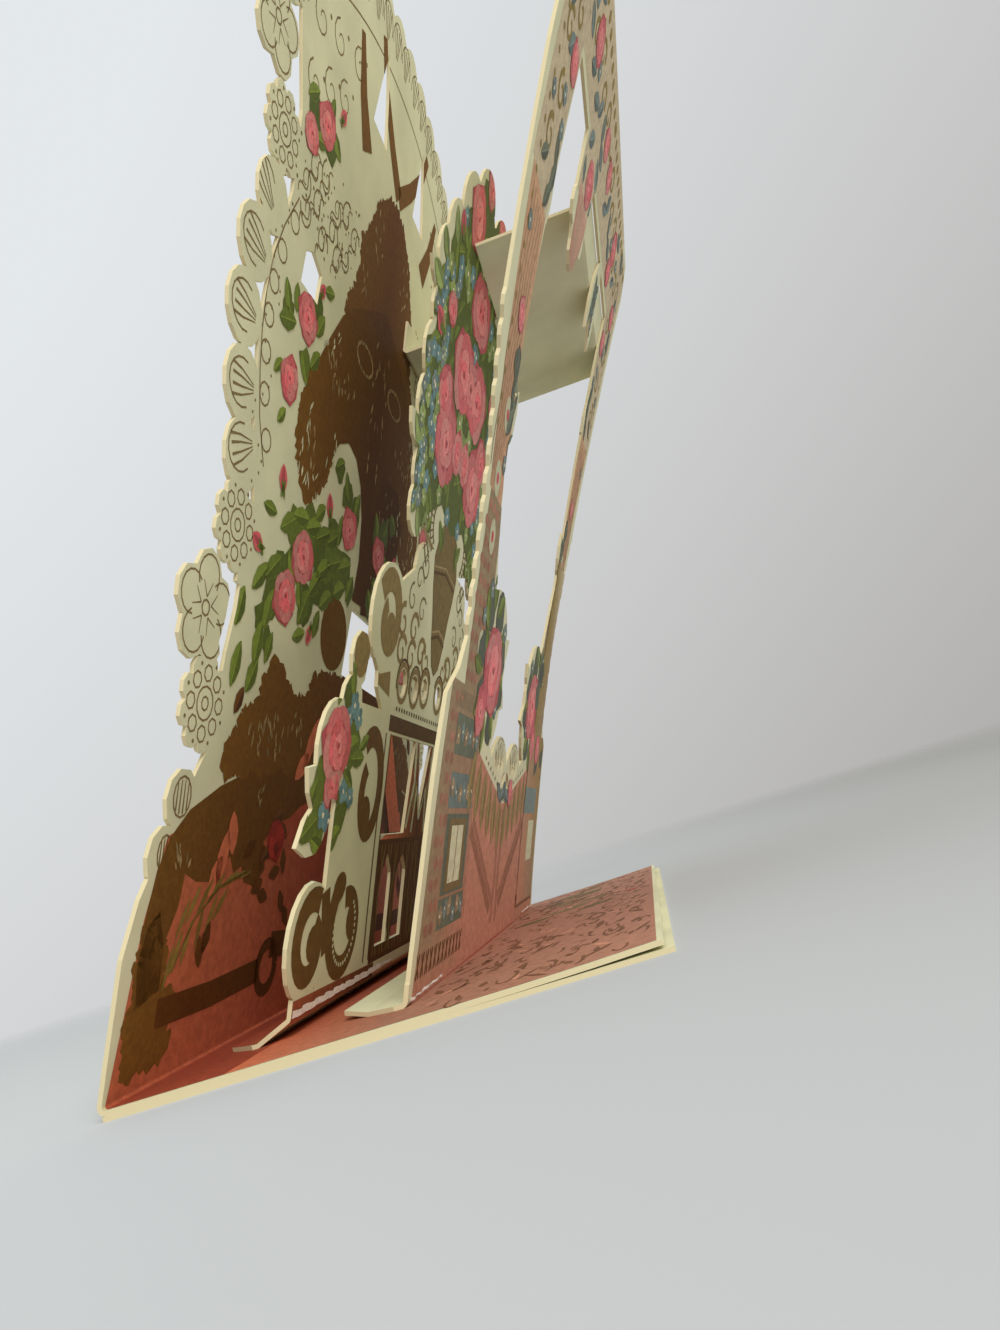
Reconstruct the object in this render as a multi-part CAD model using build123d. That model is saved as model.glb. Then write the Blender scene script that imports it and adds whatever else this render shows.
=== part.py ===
from build123d import *
import os
from math import acos, atan2, ceil, cos, degrees, pi, radians, sin, tan

# Stand-up lace card: a folded back panel and base, and two die-cut layers
# that stand on the base and lean with the panel. Millimetres, +Z up.
# The origin is at the centre of the underside. The front faces -Y.

# Card stock
card = 0.7
glue_line = 0.05
seat_gap = 0.3
bend_lead = 3.0

# Back panel and base, one folded sheet
card_width = 176.0
base_depth = 80.0
lean = 68.1
fold_radius = 0.8
fold_strip = 5.0
panel_top = 230.0
panel_shoulder = 206.0
shoulder_inset = 16.0
base_spring = 0.5
spring_length = 30.0

# Second ply under the base
backing_step = 1.2

# Middle layer
middle_setback = 20.6
middle_bow = 2500.0
middle_height = 190.0
middle_crease_rise = 2.3
middle_flap_run = 5.1
middle_flap_strip = 6.5
middle_flap_end_x = 70.0
middle_flap_chamfer = 6.0

# Front layer
front_setback = 41.3
front_bow = 1250.0
front_height = 204.0
front_half_width = 75.0
front_head_band = 28.0
front_head_flare = 46.0
front_corner = 7.0
front_top_trim = 1.0
front_post_lap = 4.0
front_blank_spare = 10.0
front_flap_length = 11.3
front_flap_straight = 2.0
front_flap_chamfer = 6.0
front_flap_lift = 0.9
front_flap_lifted = 4.5

# Strap that links the panel, the middle layer and the front layer
strap_drop = 37.4
strap_near_x = -17.0
strap_far_inset = 7.0
strap_waist_x = 16.0
strap_tab = 9.0
strap_slot_gap = 0.6

# Die-cut ornament: round cuts are made of short straight runs of the cutting rule
cut_run = 3.0
fewest_runs = 8
lace_disc = 8.2
lace_bumps = 9
lace_bump = 2.3
petal_count = 5
petal = 4.4
petal_ring = 5.4
fan_lobe = 6.6
scallop = 7.0
frill_reach = 13.5
frill_slots = 5
frill_slot_ring = 8.9
frill_slot_length = 6.8
frill_slot_width = 2.4
edge_wave = 1.2
edge_pitch = 5.2
wave_runs = 3
tassel_x = -19.0

# How far a cutting plan runs past the edge it doesn't cut
overcut = 1.0

base_top = 2 * card
fold_y = base_depth / 2
rise = radians(lean)
half_card = card / 2
panel_edge = -card_width / 2
arch_edge = -front_half_width
head_top = front_height - front_top_trim
head_foot = front_height - front_head_band


def sheet_point(setback, bow, along, off):
    """Y and Z of a point on a bowed layer: along it from the crease, and off its front face."""
    turn = rise - along / bow
    y = fold_y - setback - bow * (sin(rise) - sin(turn)) - off * sin(turn)
    z = base_top + bow * (cos(turn) - cos(rise)) - off * cos(turn)
    return y, z


def panel_plane(setback, tilt):
    """Drawing plane of a standing sheet: X across the card, Y up the sheet, Z to the front."""
    face_on = (0, -sin(tilt), -cos(tilt))
    return Plane(origin=(0, fold_y - setback, base_top), x_dir=(1, 0, 0), z_dir=face_on)


def ribbon(path, left_x, right_x):
    """Card bent along a path in the Y-Z plane, between two X values."""
    section = trace(path, line_width=card)
    sheet = extrude(Plane.YZ * section, amount=right_x - left_x)
    return Pos(left_x, 0, 0) * sheet


def both_sides(drawing):
    """The left half of a drawing and its mirror image."""
    return drawing + mirror(drawing, about=Plane.YZ)


def round_cut(radius):
    """Round shape in short straight runs."""
    return RegularPolygon(radius, max(fewest_runs, round(2 * pi * radius / cut_run)))


def disc(x, y, radius):
    return Pos(x, y) * round_cut(radius)


def outline(*points):
    """Closed straight-sided shape."""
    return make_face(Polyline(*points, close=True))


def leaf(x, y, length, width, angle):
    """Pointed leaf shape, fullest at its middle."""
    half = length / 2
    full = width / 2
    quarter = 0.75 * full
    shape = outline(
        (-half, 0),
        (-half / 2, quarter),
        (0, full),
        (half / 2, quarter),
        (half, 0),
        (half / 2, -quarter),
        (0, -full),
        (-half / 2, -quarter),
    )
    return Pos(x, y) * Rot(0, 0, angle) * shape


def lace_medallion(x, y, radius):
    """Round lace medallion with a bumped rim."""
    core = round_cut(radius - lace_bump * 0.7)
    rim = PolarLocations(radius - lace_bump, lace_bumps) * round_cut(lace_bump)
    return Pos(x, y) * (core + rim)


def lace_flower(x, y):
    """Flower of round petals."""
    petals = PolarLocations(petal_ring, petal_count, start_angle=90) * round_cut(petal)
    return Pos(x, y) * (round_cut(petal_ring) + petals)


def panel_outline():
    """Left half of the lace-edged back panel."""
    sheet = outline(
        (0, fold_strip),
        (panel_edge, fold_strip),
        (panel_edge + 0.4, 20),
        (panel_edge + 3, 28),
        (panel_edge + 8, 36),
        (panel_edge + 18, 50),
        (panel_edge + 21, 66),
        (panel_edge + 22, 82),
        (panel_edge + 26, 92),
        (panel_edge + 22, 104),
        (panel_edge + 19, 125),
        (panel_edge + 21, 140),
        (panel_edge + 26, 155),
        (panel_edge + 26, panel_shoulder - 34),
        (panel_edge + 21, panel_shoulder - 18),
        (panel_edge + shoulder_inset + 4, panel_shoulder),
        (0, panel_shoulder),
    )
    sheet += disc(panel_edge + 8.5, 34, 4.8)
    sheet += disc(panel_edge + 12.2, 42.5, 5)
    sheet += lace_medallion(panel_edge + 15.7, 58, lace_disc)
    sheet += lace_flower(panel_edge + 12, 73)
    sheet += lace_medallion(panel_edge + 19.7, 89, lace_disc)
    for inset, y in ((18.5, 101), (15.5, 112.5), (13, 125), (14, 137.5), (18.5, 149)):
        sheet += disc(panel_edge + inset, y, fan_lobe)
    sheet += lace_medallion(panel_edge + 19.7, panel_shoulder - 43, lace_disc)
    sheet += lace_flower(panel_edge + 12, panel_shoulder - 27)
    sheet += lace_medallion(panel_edge + 16.5, panel_shoulder - 11, lace_disc)
    return sheet


def panel_crown():
    """Shallow arch on top of the panel, edged with scallops along its curve."""
    shoulder_x = card_width / 2 - shoulder_inset
    sagitta = panel_top - panel_shoulder
    radius = (shoulder_x ** 2 + sagitta ** 2) / (2 * sagitta)
    centre_y = panel_top - radius
    arch = ThreePointArc((-shoulder_x, panel_shoulder), (0, panel_top), (shoulder_x, panel_shoulder))
    crown = make_face(arch + Line((shoulder_x, panel_shoulder), (-shoulder_x, panel_shoulder)))
    half_turn = degrees(atan2(shoulder_x, panel_shoulder - centre_y))
    count = 2 * ceil(radius * radians(half_turn) / (2 * scallop) / 0.85) + 1
    for step in range(count):
        angle = radians(90 - half_turn + 2 * half_turn * step / (count - 1))
        crown += disc(radius * cos(angle), centre_y + radius * sin(angle), scallop)
    return crown


def panel_holes():
    """Openings cut through the panel: slits by the flowers, lace gaps and a window."""
    slit = outline(
        (panel_edge + 17.5, 80.5),
        (panel_edge + 23.4, 79.5),
        (panel_edge + 23, 75),
        (panel_edge + 21.2, 67.5),
        (panel_edge + 19.2, 66),
        (panel_edge + 18, 68.5),
        (panel_edge + 19.4, 73),
        (panel_edge + 19.8, 77),
    )
    lace_gap = outline(
        (panel_edge + 34, 142),
        (panel_edge + 43, 142),
        (panel_edge + 44, 149),
        (panel_edge + 39, 151),
        (panel_edge + 35, 149),
    )
    top_gap = outline(
        (-24, panel_top - 30),
        (-13, panel_top - 30),
        (-15, panel_top - 18),
        (-18, panel_top - 8),
        (-21, panel_top - 18),
    )
    window = outline((-7, 72), (24, 70), (26, 86), (13, 87), (-4, 88))
    return both_sides(slit + lace_gap + top_gap) + window


def back_and_base():
    """Folded sheet: lace-edged panel, bend, and base that springs up a little in front."""
    corner = half_card / tan(rise / 2)
    mid_z = base_top - half_card
    strip_end = fold_strip + corner
    bend = FilletPolyline(
        (fold_y - base_depth + spring_length, mid_z),
        (fold_y + corner, mid_z),
        (fold_y + corner - strip_end * cos(rise), mid_z + strip_end * sin(rise)),
        radius=fold_radius,
    )
    strip = ribbon(bend, -card_width / 2, card_width / 2)
    spring_bow = spring_length ** 2 / (2 * base_spring)
    sprung = JernArc(
        start=(fold_y - base_depth + spring_length, mid_z),
        tangent=(-1, 0),
        radius=spring_bow,
        arc_size=-degrees(spring_length / spring_bow),
    )
    lip = ribbon(sprung, -card_width / 2, card_width / 2)
    drawing = both_sides(panel_outline()) + panel_crown() - panel_holes()
    panel = extrude(panel_plane(0, rise) * drawing, amount=-card)
    return strip + lip + panel


def base_backing():
    """Flat second ply, a little proud of the base in front."""
    depth = base_depth + backing_step
    return Pos(0, -backing_step / 2, half_card) * Box(card_width, depth, card)


def along_at_height(bow, height, off):
    """How far up a bowed layer a point off its front face is at a height above the base."""
    return bow * (rise - acos((height + bow * cos(rise)) / (bow - off)))


def strap_level():
    """Height of the strap's middle above the base, where it meets the back of the front layer."""
    tab_off = card + half_card + glue_line
    return sheet_point(front_setback, front_bow, front_height - strap_drop, -tab_off)[1] - base_top


def standing_sheet(setback, bow, height, crease_rise, flap_points, flap_plan, drawing):
    """Bowed layer, die-cut to the drawing, and its flap, bent back at the crease."""
    start = half_card * tan(rise / 2) + crease_rise / sin(rise)
    crease = sheet_point(setback, bow, start, -half_card)
    first = sheet_point(setback, bow, start + bend_lead, -half_card)
    turn = rise - (start + bend_lead) / bow
    bend = FilletPolyline(*flap_points, crease, first, radius=fold_radius)
    rising = JernArc(
        start=first,
        tangent=(-cos(turn), sin(turn)),
        radius=bow + half_card,
        arc_size=degrees((height - start - bend_lead) / bow),
    )
    half_width = card_width / 2
    flap = ribbon(bend, -half_width, half_width) & extrude(flap_plan, amount=2 * card_width, both=True)
    tilt = rise - height / bow / 2
    cutter = extrude(panel_plane(setback, tilt) * drawing, amount=card_width, both=True)
    return flap + (ribbon(rising, -half_width, half_width) & cutter)


def middle_outline():
    """Left half of the scroll-work layer with its bouquet, from the crease up."""
    shape = outline((0, 0), (-72, 0), (-74, 2.5), (-68, 5), (-60, 5), (-60, 54), (0, 54))
    shape += disc(-65.5, 14, 9.4)
    shape += disc(-63, 45, 8.5)
    shape += leaf(-69, 31.5, 15, 8, 20)
    shape += leaf(-69, 38, 13, 7, -30)
    shape += disc(-57, 53, 5.5)
    shape += disc(-55, 61.5, 5)
    shape += disc(-41, 71.5, 11)
    shape += outline((-46, 60), (-36, 52), (0, 52), (0, 96), (-18, 92), (-25, 86), (-36, 80))
    shape += disc(-20, 86, 6.5)
    top = middle_height
    shape += outline((0, 90), (-26, 96), (-34, 120), (-35, top - 40), (-20, top - 18), (0, top - 10))
    for x, y, radius in (
        (-31, 97, 6),
        (-30, 105, 7.5),
        (-34, 118, 7),
        (-35, 129, 6.8),
        (-34.5, 139, 6),
        (-35, top - 40, 7),
        (-30, top - 32, 8),
        (-20, top - 21, 10),
        (-10, top - 12, 9),
    ):
        shape += disc(x, y, radius)
    shape += leaf(-40, 111, 10, 5, 150)
    shape += leaf(-41, 144, 10, 5, 170)
    return shape


def middle_holes():
    """Left half of the layer's openings: the window lights and the gap under the curl."""
    curl_gap = outline((-52, 56), (-43, 56), (-44, 61), (-47, 63), (-51, 62))
    tall_light = outline((-30, 30), (-12, 30), (-9, 50), (-30, 50))
    centre_light = outline((-0.01, 34), (-6, 50), (0, 50), (0, 34))
    foot_light = outline((-27, 8), (-19, 8), (-19, 22), (-23, 26), (-27, 22))
    inner_light = outline((-15, 8), (-7, 8), (-7, 22), (-11, 26), (-15, 22))
    loops = disc(-26, 61, 3) + disc(-16, 61, 3) + disc(-7, 62, 2.6)
    return curl_gap + tall_light + centre_light + foot_light + inner_light + loops


def middle_layer():
    """Bowed scroll-work sheet, notched for the strap, with a glue flap folded back."""
    seat_z = base_top + half_card
    crease_y = fold_y - middle_setback
    strip_y = crease_y + middle_flap_run
    back_y = strip_y + middle_flap_strip
    flap_plan = outline(
        (-middle_flap_end_x, crease_y - middle_flap_chamfer),
        (-middle_flap_end_x, crease_y + middle_flap_chamfer),
        (-middle_flap_end_x + middle_flap_chamfer, back_y + overcut),
        (middle_flap_end_x - middle_flap_chamfer, back_y + overcut),
        (middle_flap_end_x, crease_y + middle_flap_chamfer),
        (middle_flap_end_x, crease_y - middle_flap_chamfer),
    )
    notch_along = along_at_height(middle_bow, strap_level(), -half_card)
    notch_width = card_width / 2 - strap_waist_x
    notch = Rectangle(notch_width, 2 * (card + strap_slot_gap), align=(Align.MIN, Align.CENTER))
    drawing = both_sides(middle_outline() - middle_holes())
    drawing -= Pos(strap_waist_x - strap_slot_gap, notch_along) * notch
    return standing_sheet(
        middle_setback,
        middle_bow,
        middle_height,
        middle_crease_rise,
        ((back_y, seat_z), (strip_y, seat_z)),
        flap_plan,
        drawing,
    )


def wavy_waist():
    """Outer edge of the post's waist, from the shoulder up, die-cut in small waves."""
    waist = Polyline(
        (arch_edge + 15.5, 58),
        (arch_edge + 15, 75),
        (arch_edge + 12.5, 90),
        (arch_edge + 8, 102),
        (arch_edge + 4, 115),
    )
    waves = ceil(waist.length / edge_pitch)
    points = []
    for step in range(wave_runs * waves + 1):
        spot = waist @ (step / (wave_runs * waves))
        points.append((spot.X - edge_wave * abs(sin(pi * step / wave_runs)), spot.Y))
    return points


def arch_post():
    """Left post of the front arch: flared foot, shoulder, wavy waist, and leaves on its inner edge."""
    post = outline(
        (arch_edge, 0),
        (arch_edge + 2, 18),
        (arch_edge + 3, 34),
        (arch_edge + 5, 47),
        (arch_edge + 12, 52),
        *wavy_waist(),
        (arch_edge, front_height - front_head_flare),
        (arch_edge, head_foot + front_post_lap),
        (arch_edge + 25, head_foot + front_post_lap),
        (arch_edge + 24, 130),
        (arch_edge + 24, 112),
        (arch_edge + 26, 92),
        (arch_edge + 31, 80),
        (arch_edge + 36, 70),
        (arch_edge + 34, 0),
    )
    post += disc(arch_edge + 42.5, 58, 14)
    post += disc(arch_edge + 43.5, 52.5, 13)
    post += leaf(arch_edge + 54, 61, 12, 5, 40)
    post += leaf(arch_edge + 56, 52, 9, 4.5, -20)
    post += leaf(arch_edge + 26, 101, 14, 6, 70)
    post += leaf(arch_edge + 22, 147, 16, 6, -70)
    return post


def fence():
    """Left half of the low fence: it dips to the middle, where an openwork frill stands on it."""
    body = outline(
        (0, 0),
        (arch_edge + 30, 0),
        (arch_edge + 30, 45),
        (-24, 41),
        (-18, 37),
        (-12, 33.5),
        (-5, 31),
        (0, 30.5),
    )
    foot_x = -11
    foot_y = 31
    frill = disc(foot_x, foot_y, frill_reach)
    for step in range(frill_slots):
        angle = 30 + 120 * step / (frill_slots - 1)
        x = foot_x + frill_slot_ring * cos(radians(angle))
        y = foot_y + frill_slot_ring * sin(radians(angle))
        frill -= leaf(x, y, frill_slot_length, frill_slot_width, angle)
    return body + frill


def tassel():
    """Fringed tassel that hangs from the head on the left."""
    shape = outline(
        (tassel_x - 11, head_foot + 2),
        (tassel_x + 11, head_foot + 2),
        (tassel_x + 9, head_foot - 14),
        (tassel_x + 5, head_foot - 22),
        (tassel_x - 4, head_foot - 22),
        (tassel_x - 9, head_foot - 15),
    )
    shape += disc(tassel_x - 6.5, head_foot - 15, 4.2)
    shape += disc(tassel_x + 0.5, head_foot - 21, 5)
    shape += disc(tassel_x + 7, head_foot - 15, 4.2)
    return shape


def arch_outline():
    """Front arch: posts, head, fence, a tassel on the left and a leaf spray on the right."""
    head = outline(
        (0, head_foot),
        (arch_edge, head_foot),
        (arch_edge, head_top - front_corner),
        (arch_edge + front_corner, head_top),
        (0, head_top),
    )
    side = head + arch_post() + fence()
    leaf_spray = leaf(22, head_foot - 8, 25, 9, 75) + leaf(27, head_foot - 10, 24, 8, 100)
    return both_sides(side) + tassel() + leaf_spray


def front_arch():
    """Bowed front sheet with its glue flap folded back, the flap's free edge a little lifted."""
    seat_z = base_top + half_card
    crease_y = fold_y - front_setback
    back_y = crease_y + front_flap_length
    flap_plan = outline(
        (arch_edge, crease_y - front_flap_length),
        (arch_edge, crease_y + front_flap_straight),
        (arch_edge + front_flap_chamfer, back_y + overcut),
        (-arch_edge - front_flap_chamfer, back_y + overcut),
        (-arch_edge, crease_y + front_flap_straight),
        (-arch_edge, crease_y - front_flap_length),
    )
    return standing_sheet(
        front_setback,
        front_bow,
        front_height + front_blank_spare,
        0,
        ((back_y, seat_z + front_flap_lift), (back_y - front_flap_lifted, seat_z)),
        flap_plan,
        arch_outline(),
    )


def link_strap():
    """Level strap from the panel to the back of the front layer, a glue tab at each end."""
    mid_height = strap_level()
    back_along = (mid_height + half_card * cos(rise)) / sin(rise)
    tab_off = card + half_card + glue_line
    front_along = front_height - strap_drop
    mid_z = base_top + mid_height
    back_y = fold_y - back_along * cos(rise) - half_card * sin(rise)
    front_y = sheet_point(front_setback, front_bow, front_along, -tab_off)[0]
    path = FilletPolyline(
        (back_y - strap_tab * cos(rise), mid_z + strap_tab * sin(rise)),
        (back_y, mid_z),
        (front_y, mid_z),
        sheet_point(front_setback, front_bow, front_along + strap_tab, -tab_off),
        radius=fold_radius,
    )
    top_along = along_at_height(middle_bow, mid_height + half_card, 0)
    shoulder_y = sheet_point(middle_setback, middle_bow, top_along, seat_gap)[0]
    plan = outline(
        (strap_near_x, front_y - strap_tab),
        (strap_near_x, shoulder_y),
        (strap_waist_x, shoulder_y),
        (strap_waist_x, back_y + strap_tab),
        (front_half_width - strap_far_inset, back_y + strap_tab),
        (front_half_width - strap_far_inset, front_y - strap_tab),
    )
    return ribbon(path, -card_width / 2, card_width / 2) & extrude(plan, amount=2 * card_width)


parts = {
    "back_and_base": back_and_base(),
    "base_backing": base_backing(),
    "middle_layer": middle_layer(),
    "front_arch": front_arch(),
    "link_strap": link_strap(),
}

os.makedirs("parts", exist_ok=True)
for name, solid in parts.items():
    solid.label = name
    export_step(solid, f"parts/{name}.step")
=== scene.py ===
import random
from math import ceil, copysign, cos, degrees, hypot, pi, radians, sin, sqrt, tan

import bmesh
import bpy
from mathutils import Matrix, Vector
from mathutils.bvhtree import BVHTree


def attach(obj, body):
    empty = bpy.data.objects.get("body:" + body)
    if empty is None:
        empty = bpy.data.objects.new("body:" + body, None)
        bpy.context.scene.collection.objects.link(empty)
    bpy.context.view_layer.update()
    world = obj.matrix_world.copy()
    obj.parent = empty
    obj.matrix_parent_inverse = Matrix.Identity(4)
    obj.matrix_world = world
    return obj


bl_info = {
    "name": "Stand-up Lace Card",
    "version": (1, 0, 0),
    "blender": (4, 5, 0),
    "location": "View3D > Sidebar > Lace Card",
    "description": "Prints, finishes and stages a die-cut stand-up lace card",
    "category": "Object",
}

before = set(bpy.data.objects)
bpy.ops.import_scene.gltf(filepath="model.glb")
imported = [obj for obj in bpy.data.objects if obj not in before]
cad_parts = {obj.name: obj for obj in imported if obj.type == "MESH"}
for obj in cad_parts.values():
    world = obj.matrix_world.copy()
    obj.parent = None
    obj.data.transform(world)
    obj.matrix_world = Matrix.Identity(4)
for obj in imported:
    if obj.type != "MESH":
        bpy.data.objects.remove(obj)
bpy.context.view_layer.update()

MM = 0.001

# The flat print is drawn in mm from a sheet's left side edge and foot, and these are in mm too
CENTRE = 88.0  # from the left side edge to the middle of the card
FIRST_LEVEL = 0.03  # the lowest ink off the card
LEVEL_STEP = 0.025  # from one level of ink to the next
BEND_STEP = 8.0  # between the lines that the print is bent along
CUT_STEP = 5.0  # the longest edge when the print is cut off at the die-cut edges
CARD_PROBE = 0.5  # how far from a sheet's face its card is looked for, on either side
EDGE_GAP = 0.03  # share of a cut edge that is always left at its ends
CUT_ROUNDS = 6  # times that longer edges are halved
EDGE_HALVINGS = 5  # steps of the search for the die-cut edge between two corners
TOUCHING = 1e-7

# Metres: the crest of the middle layer's flap, before its foot and over the base, and its slope
FLAP_BEFORE = 0.0006
FLAP_RISE = 0.00295
FLAP_SLOPE = 0.0058

# The CAD node that each sheet of print lies on, where it isn't the panel with its base
PRINTED_NODES = {"middle": "middle_layer", "flap": "middle_layer", "front": "front_arch"}

PETAL_LIGHT = "#E8C4B4"
FLOWER_EYE = "#F2E9C8"
# Near white of bare fibre at the creases, also a painted highlight along the middle layer's crease
FIBRE_AND_HIGHLIGHT = "#FBF7EC"

# Each ink's roughness, gloss, and the size in mm of the spots where it took thinly
INK_FINISHES = {
    "salmon_wash_ink": (0.7, 0.3, 1.6),  # a thin wash, cloudy and soft
    "salmon_litho_ink": (0.7, 0.3, 1.4),  # an even matt ground
    "dull_gold_ink": (0.7, 0.15, 1.2),  # bronze powder printed flat brown, with hardly any shine
    "brown_line_ink": (0.75, 0.3, 1.0),  # a thin matt line
    "rose_litho_ink": (0.7, 0.3, 1.1),  # matt, over several pulls
    "bronze_powder_gold": (0.65, 0.25, 1.4),  # a little silkier, and worn
    "chromo_litho_ink": (0.65, 0.35, 1.0),  # many pulls, which build a slight shine
    "bare_fibre_and_highlight": (0.9, 0.2, 0.8),  # torn fibre, dry and white, and a painted highlight along the middle crease
}

# The fitted camera, the lamp and the floor, in metres and watts
FOCAL_PIXELS = 950.0
FRAME_PIXELS = 1330.0
SENSOR_WIDTH = 36.0
KEY_PLACE = (-1.0, -0.55, 0.75)
KEY_AIM = (0, 0, 0.08)
KEY_POWER = 13.5
KEY_SIZE = 0.7
WORLD_STRENGTH = 0.86
FLOOR_RADIUS = 1.0
FLOOR_FADE = (0.16, 0.9)


class LaceCardSizes(bpy.types.PropertyGroup):
    """Sizes of the folded card that the print has to follow, in metres and radians."""

    base_depth: bpy.props.FloatProperty(
        name="Base depth", description="From the fold to the front edge of the base",
        default=0.080, unit="LENGTH")
    base_spring: bpy.props.FloatProperty(
        name="Base spring", description="How far the front edge of the base has sprung up",
        default=0.0005, unit="LENGTH")
    spring_length: bpy.props.FloatProperty(
        name="Spring length", description="Length of the base that springs up",
        default=0.030, unit="LENGTH")
    card: bpy.props.FloatProperty(
        name="Card thickness", description="Thickness of one ply", default=0.0007, unit="LENGTH")
    fold_radius: bpy.props.FloatProperty(
        name="Fold radius", description="Bend of the middle of the card at the fold",
        default=0.0008, unit="LENGTH")
    lean: bpy.props.FloatProperty(
        name="Lean", description="Angle between the base and the back panel",
        default=radians(68.1), subtype="ANGLE")
    middle_setback: bpy.props.FloatProperty(
        name="Middle setback", description="Fold to the foot of the middle layer",
        default=0.0206, unit="LENGTH")
    middle_bow: bpy.props.FloatProperty(
        name="Middle bow", description="Radius that the middle layer is bowed to",
        default=2.5, unit="LENGTH")
    front_setback: bpy.props.FloatProperty(
        name="Front setback", description="Fold to the foot of the front arch",
        default=0.0413, unit="LENGTH")
    front_bow: bpy.props.FloatProperty(
        name="Front bow", description="Radius that the front arch is bowed to",
        default=1.25, unit="LENGTH")


def ink_value(name, description, hex_colour):
    """A text property that holds one ink as an sRGB hex value."""
    return bpy.props.StringProperty(name=name, description=description, default=hex_colour)


class LaceCardInks(bpy.types.PropertyGroup):
    """Printing inks and card colours, as sRGB hex values."""

    cream: ink_value("Card", "Aged cream card", "#E3DFB8")
    edge: ink_value("Cut edge", "Die-cut edge", "#CFC199")
    gold: ink_value("Gold brown", "Dull gold ink of the trees", "#7A5321")
    # Dark gold is heavier gold ink, and also painted shade where the gold masses darken towards the middle
    # of the card
    bark: ink_value("Dark gold", "Heavier gold ink of the arches", "#683F18")
    straw: ink_value("Straw", "Nicks where the gold took thinly", "#A98F62")
    scroll: ink_value("Scroll gold", "Gold ink of the scrolls", "#6B4A1E")
    olive: ink_value("Olive gold", "Worn gold ink of the vase and the curls", "#907845")
    willow: ink_value("Willow", "Thin gold leaves", "#8A7436")
    lace_line: ink_value("Lace line", "Brown line of the lace", "#857049")
    salmon: ink_value("Salmon", "Salmon ground", "#BC6644")
    # Deep salmon is partly painted shade, where the ground reddens by the folds and towards the middle of
    # the card
    ember: ink_value("Deep salmon", "Ground near the folds", "#A84A30")
    blush: ink_value("Blush", "Base in front of the arch", "#AC775F")
    fence: ink_value("Fence", "Salmon of the fence", "#C6866D")
    curtain: ink_value("Curtain", "Pale salmon of the curtains", "#CFA07A")
    brick: ink_value("Brick", "Border bricks", "#AE765F")
    tan: ink_value("Tan", "Ground of the borders", "#9C8463")
    sand: ink_value("Sand", "Ground of the arch head", "#DAC6A2")
    rose: ink_value("Rose", "Rose petals", "#DC6268")
    crimson: ink_value("Crimson", "Small dark roses", "#9C2E22")
    green: ink_value("Leaf", "Leaf green", "#768532")
    leaf_light: ink_value("Light leaf", "Sunlit leaves", "#93A35E")
    blue: ink_value("Blue", "Small flowers", "#6E8F92")
    teal: ink_value("Teal", "Grey-green ground", "#707660")
    lagoon: ink_value("Lagoon", "Blue-green ground", "#76847E")


def linear(hex_colour):
    """sRGB hex to the linear colour that a shader takes."""
    channels = [int(hex_colour[i:i + 2], 16) / 255 for i in (1, 3, 5)]
    out = [c / 12.92 if c <= 0.04045 else ((c + 0.055) / 1.055) ** 2.4 for c in channels]
    return (*out, 1.0)


def shade(hex_colour, amount):
    """The same ink printed lighter (over 1) or heavier (under 1), as a linear colour."""
    colour = linear(hex_colour)
    return (*[min(1.0, c * amount) for c in colour[:3]], 1.0)


def add_node(tree, kind, links=None, **settings):
    """A shader node with its settings, and links from other sockets into its inputs."""
    node = tree.nodes.new("ShaderNode" + kind)
    for name, value in settings.items():
        if name.startswith("in_"):
            key = name[3:]
            node.inputs[int(key) if key.isdigit() else key.replace("_", " ")].default_value = value
        else:
            setattr(node, name, value)
    for key, socket in (links or {}).items():
        tree.links.new(socket, node.inputs[key])
    return node


def new_material(name, roughness, gloss):
    """Material of one roughness and gloss, with its tree, its shader and its object coordinates."""
    material = bpy.data.materials.new(name)
    material.use_nodes = True
    tree = material.node_tree
    shader = tree.nodes["Principled BSDF"]
    shader.inputs["Roughness"].default_value = roughness
    shader.inputs["Specular IOR Level"].default_value = gloss
    return material, tree, shader, add_node(tree, "TexCoord").outputs["Object"]


def mix(first, second, amount):
    """A linear colour between two others."""
    return (*[a + (b - a) * amount for a, b in zip(first[:3], second[:3])], 1.0)


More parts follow.
